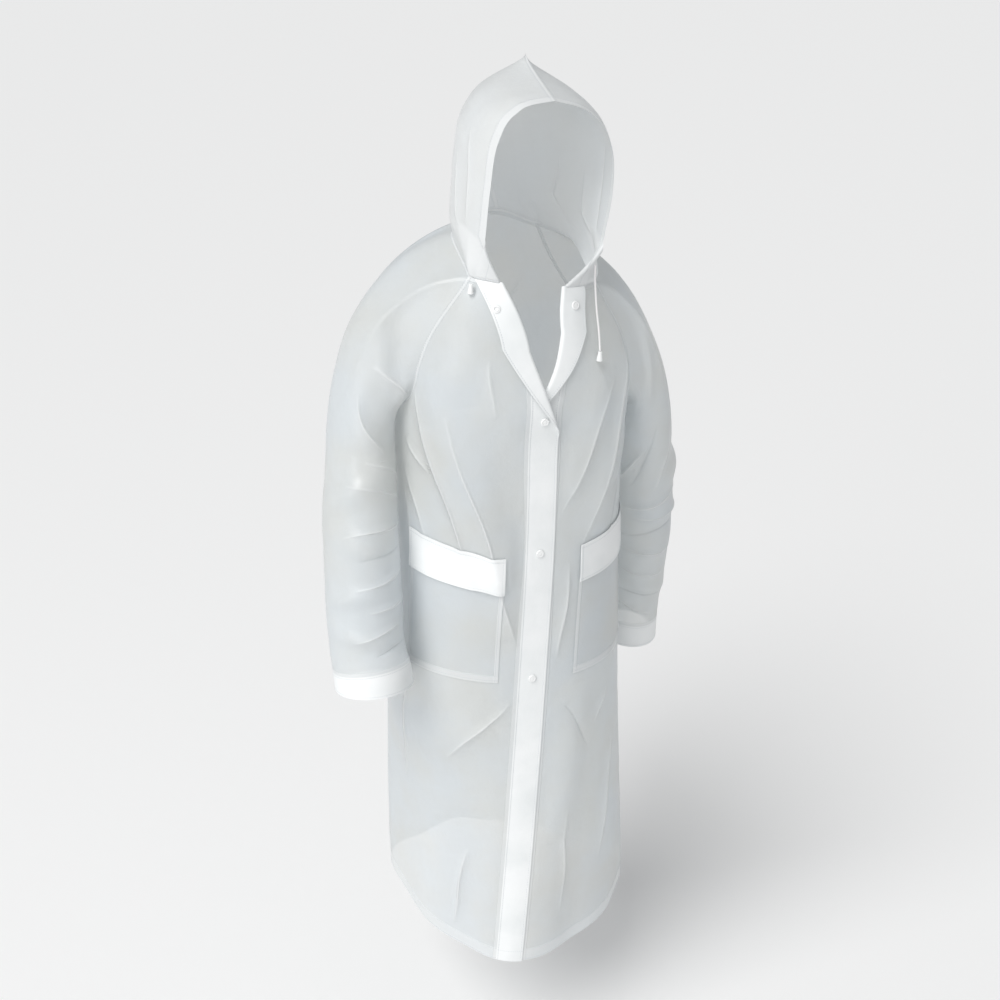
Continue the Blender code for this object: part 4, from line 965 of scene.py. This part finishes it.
def add_pockets(name, grids, normals, crests):
    """Patch pockets and flaps, made from the front's own points, moved out."""
    first = LOWER_ROWS[0][1]
    flap_bottom = first + LOWER_ROWS[1][1]
    top = flap_bottom + LOWER_ROWS[2][1]
    columns = slice(POCKET_COLUMNS[0], POCKET_COLUMNS[1] + 1)
    for piece, rows, lift in (
        ("pocket_", slice(first, top + 1), LAYER_GAP + WALL),
        ("flap_", slice(flap_bottom, top + 1), 2 * (LAYER_GAP + WALL)),
    ):
        out = normals["front_" + name][rows, columns]
        away = np.full(out.shape[:2], lift)
        if piece == "flap_":
            away += FLAP_STAND * ease(np.linspace(1.2, 0, out.shape[0]))[:, None]
        grids[piece + name] = grids["front_" + name][rows, columns] + out * away[..., None]
        normals[piece + name] = out
        # the front's crests go on at half strength, bump and painted highlight and shade alike
        crests[piece + name] = crests["front_" + name][rows, columns] * np.array((1.0, 0.5))


# ---- pieces
def piece_of(name):
    """The table name of a panel: a side is left off."""
    return name.split("_")[0]


def quads(rows, columns, closed, facing):
    """Corner numbers of a grid's quads, turned to face outwards."""
    number = np.arange(rows * columns).reshape(rows, columns)
    if closed:
        number = np.concatenate((number, number[:, :1]), axis=1)
    corners = [number[:-1, :-1], number[:-1, 1:], number[1:, 1:], number[1:, :-1]]
    made = np.stack([corner.ravel() for corner in corners], axis=1)
    return made if facing > 0 else made[:, ::-1]


def rim_quads(rows, columns, closed, facing, layer):
    """Quads that close the edges between a grid and its inner copy, whose numbers are `layer` higher."""
    number = np.arange(rows * columns).reshape(rows, columns)
    loops = []
    for row, flip in ((number[0], 1), (number[-1], -1)):
        loops.append((np.append(row, row[0]) if closed else row, flip * facing))
    if not closed:
        loops += [(number[:, 0], -facing), (number[:, -1], facing)]
    made = []
    for line, way in loops:
        first, after = line[:-1], line[1:]
        made.append(np.stack((first, first + layer, after + layer, after)[::int(way)], axis=1))
    return np.concatenate(made)


def placed(name, data):
    """A new object in the scene."""
    made = bpy.data.objects.new(name, data)
    bpy.context.scene.collection.objects.link(made)
    return made


def add_mesh(name, points, faces, smooth=True):
    mesh = bpy.data.meshes.new(name)
    mesh.from_pydata(points.tolist(), [], faces.tolist())
    if smooth:
        mesh.shade_smooth()
    return placed(name, mesh)


def dress(made, finish):
    """Gives a piece its material and slot; it rides on the coat's only body."""
    made.data.materials.append(MATERIALS[finish])
    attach(made, "root")


def panel(name, grid, normals, crest, finish):
    """A panel: one sheet of film, or a wall with two faces for the opaque trim."""
    closed, facing = is_closed(name), facing_of(name)
    rows, columns = grid.shape[:2]
    points, faces = grid.reshape(-1, 3), quads(rows, columns, closed, facing)
    solid = piece_of(name) in OPAQUE_KINDS
    if solid:
        layer = len(points)
        points = np.concatenate((points, (grid - normals * WALL).reshape(-1, 3)))
        faces = np.concatenate((faces, faces[:, ::-1] + layer, rim_quads(rows, columns, closed, facing, layer)))
    made = add_mesh("cloth_" + name, points, faces)
    if solid:
        made.data.set_sharp_from_angle(angle=TRIM_SHARP)
    # The shader reads the distances from the doubled edges as shares of their widths, the crests (drawn as bumps and
    # as painted highlight and shade) and the whiteness.
    first, last, low, high = [room / width if width else np.full(room.shape, NO_EDGE)
                              for room, width in zip(edge_rooms(name, grid), DOUBLED[piece_of(name)])]
    kept = {"edges_across": (first, last), "edges_along": (low, high), "crest": np.moveaxis(crest, 2, 0)}
    for title, pair in kept.items():
        values = np.stack((*pair, milk(name, grid)), axis=2).reshape(-1, 3)
        held = made.data.attributes.new(title, "FLOAT_VECTOR", "POINT")
        held.data.foreach_set("vector", np.tile(values, (2 if solid else 1, 1)).astype(np.float32).ravel())
    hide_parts(name)
    dress(made, finish)
    return made


def edge_line(name, grid, normals, edge, inset):
    """Points and outward directions along one edge of a panel, a little way in."""
    if edge.endswith("row"):
        grid, normals = np.swapaxes(grid, 0, 1), np.swapaxes(normals, 0, 1)
    if edge.startswith("last"):
        grid, normals = grid[:, ::-1], normals[:, ::-1]
    line, out = (on_lines(values, lengths(grid), np.full(len(grid), inset)) for values in (grid, normals))
    if is_closed(name) and edge.endswith("row"):
        line, out = np.concatenate((line, line[:1])), np.concatenate((out, out[:1]))
    return line, unit(out)


def stitches(line, out):
    """Points and faces of one row of stitches, each a long low diamond."""
    along = lengths(line)
    count = int(along[-1] / STITCH_PITCH)
    centres = (np.arange(count) + 0.5) * (along[-1] / count)
    place = sampled(line, along, centres)
    ahead = unit(sampled(line, along, centres + STITCH_AHEAD) - sampled(line, along, centres - STITCH_AHEAD))
    up = unit(sampled(out, along, centres))
    side = np.cross(ahead, up)
    corners = np.stack((
        place + ahead * STITCH_LENGTH / 2, place + side * STITCH_WIDTH / 2, place - ahead * STITCH_LENGTH / 2,
        place - side * STITCH_WIDTH / 2, place + up * STITCH_HEIGHT, place - up * STITCH_HEIGHT,
    ), axis=1)
    pattern = np.array(((1, 0, 4), (2, 1, 4), (3, 2, 4), (0, 3, 4), (0, 1, 5), (1, 2, 5), (2, 3, 5), (3, 0, 5)))
    faces = (np.arange(count)[:, None, None] * 6 + pattern[None]).reshape(-1, 3)
    return corners.reshape(-1, 3), faces


def sew(name, grids, normals, kinds):
    """All rows of stitches on some kinds of panel, as one piece."""
    points, faces, total = [], [], 0
    for panel_name, grid in grids.items():
        kind = piece_of(panel_name)
        for edge, inset in SEWING[kind] if kind in kinds else ():
            line, out = edge_line(panel_name, grid, normals[panel_name], edge, inset)
            for depth in (0.0, WALL) if kind in OPAQUE_KINDS else (0.0,):
                made, corners = stitches(line - out * depth, out)
                points.append(made)
                faces.append(corners + total)
                total += len(made)
    dress(add_mesh(name, np.concatenate(points), np.concatenate(faces), smooth=False), "thread")


def turned(name, profile, foot, axis, stands_for):
    """A turned piece of hardware: its profile's radii and heights go round an axis, from its foot up."""
    angle = np.linspace(0, 2 * math.pi, TURNED_SIDES, endpoint=False)
    turn = np.array(Vector(axis).normalized().to_track_quat("Z", "Y").to_matrix())
    rings = [np.stack((radius * np.cos(angle), radius * np.sin(angle), np.full(TURNED_SIDES, height)), axis=1)
             for radius, height in profile]
    points = np.concatenate(rings) @ turn.T + np.array(foot)
    made = add_mesh(name, points, quads(len(profile), TURNED_SIDES, True, 1.0))
    model = bmesh.new()
    model.from_mesh(made.data)
    bmesh.ops.remove_doubles(model, verts=model.verts, dist=1e-6)
    model.to_mesh(made.data)
    model.free()
    made.data.set_sharp_from_angle(angle=TURNED_SHARP)
    dress(made, "snap")
    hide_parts(stands_for)
    return made


def snap_place(node):
    """Centre of a snap and the way its flat face looks, outwards from the coat's middle."""
    points = np.array([vertex.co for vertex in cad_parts[node].data.vertices])
    centre = (points.min(axis=0) + points.max(axis=0)) / 2
    axis = np.linalg.svd(points - points.mean(axis=0))[2][2]
    return centre, axis if axis[1] < 0 else -axis


# ---- materials
def put(tree, made, values):
    """Fills inputs of a node; values are pairs of an input and a number, a colour or another node's output."""
    for key, value in values:
        if isinstance(value, bpy.types.NodeSocket):
            tree.links.new(value, made.inputs[key])
        else:
            made.inputs[key].default_value = value


def shader(name, colour, roughness):
    """A new material, its node tree and its Principled shader."""
    made = bpy.data.materials.new(name)
    made.use_nodes = True
    made.diffuse_color = (*colour, 1.0)
    surface = made.node_tree.nodes["Principled BSDF"]
    put(made.node_tree, surface, (("Base Color", (*colour, 1.0)), ("Roughness", roughness)))
    return made, made.node_tree, surface


def node(tree, kind, values=(), **settings):
    """Adds a node, sets it and fills its inputs."""
    made = tree.nodes.new("ShaderNode" + kind)
    for key, value in settings.items():
        setattr(made, key, value)
    put(tree, made, values)
    return made


def maths(tree, operation, first, second=0.0, third=0.0, clamp=False):
    return node(tree, "Math", ((0, first), (1, second), (2, third)), operation=operation, use_clamp=clamp).outputs[0]


def noise_of(tree, scale, detail=3.0, rough=0.5, stretch=(1.0, 1.0, 1.0)):
    """Noise of a given number of waves per metre over the coat."""
    place = node(tree, "TexCoord").outputs["Object"]
    held = node(tree, "Mapping", (("Vector", place), ("Scale", stretch)))
    made = node(tree, "TexNoise", (("Vector", held.outputs[0]), ("Scale", scale), ("Detail", detail),
                                   ("Roughness", rough)))
    return made.outputs["Fac"]


def raised(tree, *layers):
    """Bumps laid one on another: each is a height, its distance and its strength."""
    under = ()
    for layer in layers:
        values = (*zip(("Height", "Distance", "Strength"), layer), *under)
        under = (("Normal", node(tree, "Bump", values).outputs[0]),)
    return under[0][1]


def two_tones(tree, amount, *stops):
    """A colour that turns from one tone into another as an amount rises."""
    made = node(tree, "ValToRGB", ((0, amount),))
    for stop, (place, colour) in zip(made.color_ramp.elements, stops):
        stop.position = place
        stop.color = (*colour, 1.0)
    return made.outputs[0]


def blend(tree, share, first, second):
    return node(tree, "Mix", (("Factor", share), (6, first), (7, second)), data_type="RGBA").outputs[2]


def stored(tree, name):
    """The three values that a panel keeps at its points under a name."""
    held = node(tree, "Attribute", attribute_name=name).outputs["Vector"]
    return node(tree, "SeparateXYZ", ((0, held),)).outputs


def edge_steps(tree, soft):
    """1 on the doubled edges of a panel for each edge, summed, and its extra whiteness."""
    first, last, white = stored(tree, "edges_across")
    low, high, _ = stored(tree, "edges_along")
    total = None
    for distance in (first, last, low, high):
        step = node(tree, "MapRange", (("Value", distance), ("From Min", 1.0 - soft), ("From Max", 1.0),
                                       ("To Min", 1.0), ("To Max", 0.0))).outputs[0]
        total = step if total is None else maths(tree, "ADD", total, step)
    return total, white


def crest_line(tree):
    """A fine line along the creases: positive on a ridge, negative in a trough. In the film's colour it is painted
    highlight on the ridges and painted shade in the troughs.
    """
    off, strength, _ = stored(tree, "crest")
    fall = maths(tree, "MULTIPLY", maths(tree, "MULTIPLY", off, off), -1.0 / CREST_WIDTH**2)
    return maths(tree, "MULTIPLY", maths(tree, "EXPONENT", fall), strength)


def film():
    """Frosted clear film: milky, whiter where it is doubled, seen through where it is single. Along the creases it is
    whiter on the ridges and clearer in the troughs: partly the film's stress whitening, partly painted highlight
    and painted shade.
    """
    made, tree, surface = shader("frosted film", FILM_COLOUR, 0.34)
    layers, milky = edge_steps(tree, FILM_EDGE)
    crest = crest_line(tree)
    # white: the panel's own milkiness plus the crest line, which is painted highlight on ridges and painted shade in
    # troughs
    white = maths(tree, "ADD", milky, maths(tree, "MULTIPLY", crest, CREST_PAINTED_LIGHT))
    cloud = noise_of(tree, 7.0, 4.0)
    lighter = maths(tree, "ADD", maths(tree, "MULTIPLY", layers, LAYER_LIGHTENS),
                    maths(tree, "MULTIPLY", white, MILK_AND_CREST_LIGHTENS), clamp=True)
    tint = two_tones(tree, cloud, (0.36, FILM_WARM), (0.62, FILM_COOL))
    colour = blend(tree, lighter, tint, (*FILM_DOUBLED, 1.0))
    normal = raised(tree, (noise_of(tree, 46.0, 5.0, 0.62), 0.0016, 0.55), (noise_of(tree, 900.0, 2.0), 0.0002, 0.30),
                    (layers, 0.0006, 0.80), (crest, 0.0016, 0.90))
    put(tree, surface, (
        ("Base Color", colour), ("Roughness", maths(tree, "MULTIPLY_ADD", cloud, 0.16, 0.26)), ("Normal", normal),
        ("Specular IOR Level", 0.55), ("Coat Weight", 0.15), ("Coat Roughness", 0.22),
    ))
    through = node(tree, "BsdfTranslucent", (("Color", colour), ("Normal", normal)))
    lit = node(tree, "MixShader", ((0, FILM_TRANSLUCENCY), (1, surface.outputs[0]), (2, through.outputs[0])))
    clear = maths(tree, "MULTIPLY_ADD", cloud, -CLOUD_HIDES, FILM_CLEAR + CLOUD_HIDES / 2)
    clear = maths(tree, "SUBTRACT", clear, maths(tree, "MULTIPLY", white, MILK_AND_CREST_HIDES), clamp=True)
    count = maths(tree, "ADD", layers, 1.0)
    cover = maths(tree, "SUBTRACT", 1.0, maths(tree, "POWER", clear, count), clamp=True)
    seen = node(tree, "BsdfTransparent")
    whole = node(tree, "MixShader", ((0, cover), (1, seen.outputs[0]), (2, lit.outputs[0])))
    put(tree, tree.nodes["Material Output"], (("Surface", whole.outputs[0]),))
    return made


def trim():
    """Opaque white coated cloth: satin, finely grained, raised along its folded edges."""
    made, tree, surface = shader("white trim", TRIM_COLOUR, 0.42)
    cloud, crumple, grain = (noise_of(tree, *sizes) for sizes in ((11.0, 4.0), (60.0, 4.0, 0.6), (1100.0, 2.0)))
    edges = edge_steps(tree, TRIM_EDGE)[0]
    put(tree, surface, (
        ("Base Color", two_tones(tree, cloud, (0.34, TRIM_SHADE), (0.60, TRIM_COLOUR))),
        ("Roughness", maths(tree, "MULTIPLY_ADD", crumple, 0.14, 0.36)),
        ("Specular IOR Level", 0.45),
        ("Normal", raised(tree, (crumple, 0.0010, 0.40), (grain, 0.00015, 0.30), (edges, 0.0005, 0.70))),
    ))
    return made


def thread():
    """Polyester thread, slightly greyer than the trim, twisted."""
    made, tree, surface = shader("thread", THREAD_COLOUR, 0.55)
    put(tree, surface, (("Normal", raised(tree, (noise_of(tree, 1500.0, 1.0), 0.0001, 0.5))), ("Sheen Weight", 0.2)))
    return made


def snap():
    """White moulded plastic, a little mottled, with a soft gloss."""
    made, tree, surface = shader("snap plastic", SNAP_COLOUR, 0.24)
    mottle = noise_of(tree, 420.0, 3.0)
    put(tree, surface, (
        ("Roughness", maths(tree, "MULTIPLY_ADD", mottle, 0.12, 0.17)),
        ("Normal", raised(tree, (mottle, 0.0001, 0.35))),
        ("Coat Weight", 0.3), ("Coat Roughness", 0.12),
    ))
    return made


def cord_cover():
    """White braid: two crossing sets of fine ribs, with painted shade in the grooves between them."""
    made, tree, surface = shader("white braid", CORD_COLOUR, 0.80)
    place = node(tree, "TexCoord").outputs["Object"]
    waves = []
    for turn in (0.7, -0.7):
        held = node(tree, "Mapping", (("Vector", place), ("Rotation", (turn, turn, 0.0))))
        waves.append(node(tree, "TexWave", (("Vector", held.outputs[0]), ("Scale", 190.0), ("Distortion", 0.6)),
                          bands_direction="Z").outputs["Fac"])
    ribs = maths(tree, "MAXIMUM", *waves)
    # the braid's colour is darker where the ribs are low: painted shade in the grooves
    shade = blend(tree, ribs, (*CORD_GROOVE_SHADE, 1.0), (*CORD_COLOUR, 1.0))
    put(tree, surface, (("Base Color", shade), ("Normal", raised(tree, (ribs, 0.0003, 0.6))), ("Sheen Weight", 0.25)))
    return made


def floor_paper():
    made, tree, surface = shader("studio paper", FLOOR_COLOUR, 0.95)
    put(tree, surface, (("Normal", raised(tree, (noise_of(tree, 60.0), 0.0004, 0.1))), ("Specular IOR Level", 0.1)))
    return made


# ---- the scene
def add_camera():
    """The photograph's viewing angle."""
    azimuth, pitch, roll = (math.radians(value) for value in (CAMERA_AZIMUTH, CAMERA_PITCH, CAMERA_ROLL))
    data = bpy.data.cameras.new("camera")
    data.sensor_width = SENSOR
    data.lens = LENS
    data.clip_start = 0.05
    data.clip_end = 500.0
    place = (CAMERA_DISTANCE * math.sin(azimuth), -CAMERA_DISTANCE * math.cos(azimuth), CAMERA_HEIGHT)
    turn = Matrix.Rotation(azimuth, 4, "Z") @ Matrix.Rotation(math.pi / 2 - pitch, 4, "X")
    made = placed("camera", data)
    made.matrix_world = Matrix.Translation(place) @ turn @ Matrix.Rotation(roll, 4, "Z")
    bpy.context.scene.camera = made


def add_light(name, kind, place, aim, power, size, colour):
    data = bpy.data.lights.new(name, kind)
    data.energy = power
    data.color = colour
    if kind == "SUN":
        data.angle = size
    else:
        data.shape = "DISK"
        data.size = size
    made = placed(name, data)
    made.location = place
    made.rotation_mode = "QUATERNION"
    made.rotation_quaternion = (Vector(aim) - Vector(place)).to_track_quat("-Z", "Y")


def studio():
    """A pale floor that fills the view, a bright even surround and soft lamps."""
    scene = bpy.context.scene
    corners = [(x * FLOOR_SIZE / 2, y * FLOOR_SIZE / 2, FLOOR) for x, y in ((-1, -1), (1, -1), (1, 1), (-1, 1))]
    floor = add_mesh("floor", np.array(corners), np.array(((0, 1, 2, 3),)), smooth=False)
    floor.data.materials.append(floor_paper())
    scene.world = bpy.data.worlds.new("surround")
    scene.world.use_nodes = True
    tree = scene.world.node_tree
    put(tree, tree.nodes["Background"], (("Color", WORLD_COLOUR), ("Strength", WORLD_STRENGTH)))
    for row in LIGHTS:
        add_light(*row)
    scene.view_settings.view_transform = "Standard"
    scene.view_settings.look = "None"


def add_drawstring():
    """The free end of the drawstring and its bell; the other bell sits at its exit."""
    route = np.array(CORD_ROUTE)
    table = np.column_stack((lengths(route), route))
    line = table_at(table, np.linspace(0, table[-1, 0], CORD_POINTS))
    curve = bpy.data.curves.new("drawstring", "CURVE")
    curve.dimensions = "3D"
    curve.bevel_depth = CORD_RADIUS
    curve.bevel_resolution = 4
    curve.use_fill_caps = True
    spline = curve.splines.new("POLY")
    spline.points.add(len(line) - 1)
    spline.points.foreach_set("co", np.column_stack((line, np.ones(len(line)))).ravel())
    made = placed("drawstring", curve)
    dress(made, "cord")
    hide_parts("drawstring_left")
    for name in ("toggle_left", "toggle_right"):
        low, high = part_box(name)
        foot = ((low.x + high.x) / 2, (low.y + high.y) / 2, low.z)
        turned("bell_" + name[7:], BELL, foot, (0.0, 0.0, 1.0), name)


def add_snaps():
    for place in ("neck_right", "neck_left", "chest", "waist", "hip"):
        centre, axis = snap_place("snap_" + place)
        profile = SNAP_SOCKET if place == "neck_right" else SNAP_DOME
        turned("cap_" + place, profile, centre - axis * SNAP_HEIGHT / 2, axis, "snap_" + place)


add_camera()
MATERIALS = {"film": film(), "trim": trim(), "thread": thread(), "snap": snap(), "cord": cord_cover()}
coat_grids, coat_normals, coat_crests = coat_surface()
for title, points in coat_grids.items():
    finish = "trim" if piece_of(title) in OPAQUE_KINDS else "film"
    panel(title, points, coat_normals[title], coat_crests[title], finish)
sew("sewing_of_the_film", coat_grids, coat_normals, ("front", "back", "sleeve", "hood", "pocket"))
sew("sewing_of_the_trim", coat_grids, coat_normals, OPAQUE_KINDS)
add_snaps()
add_drawstring()
studio()
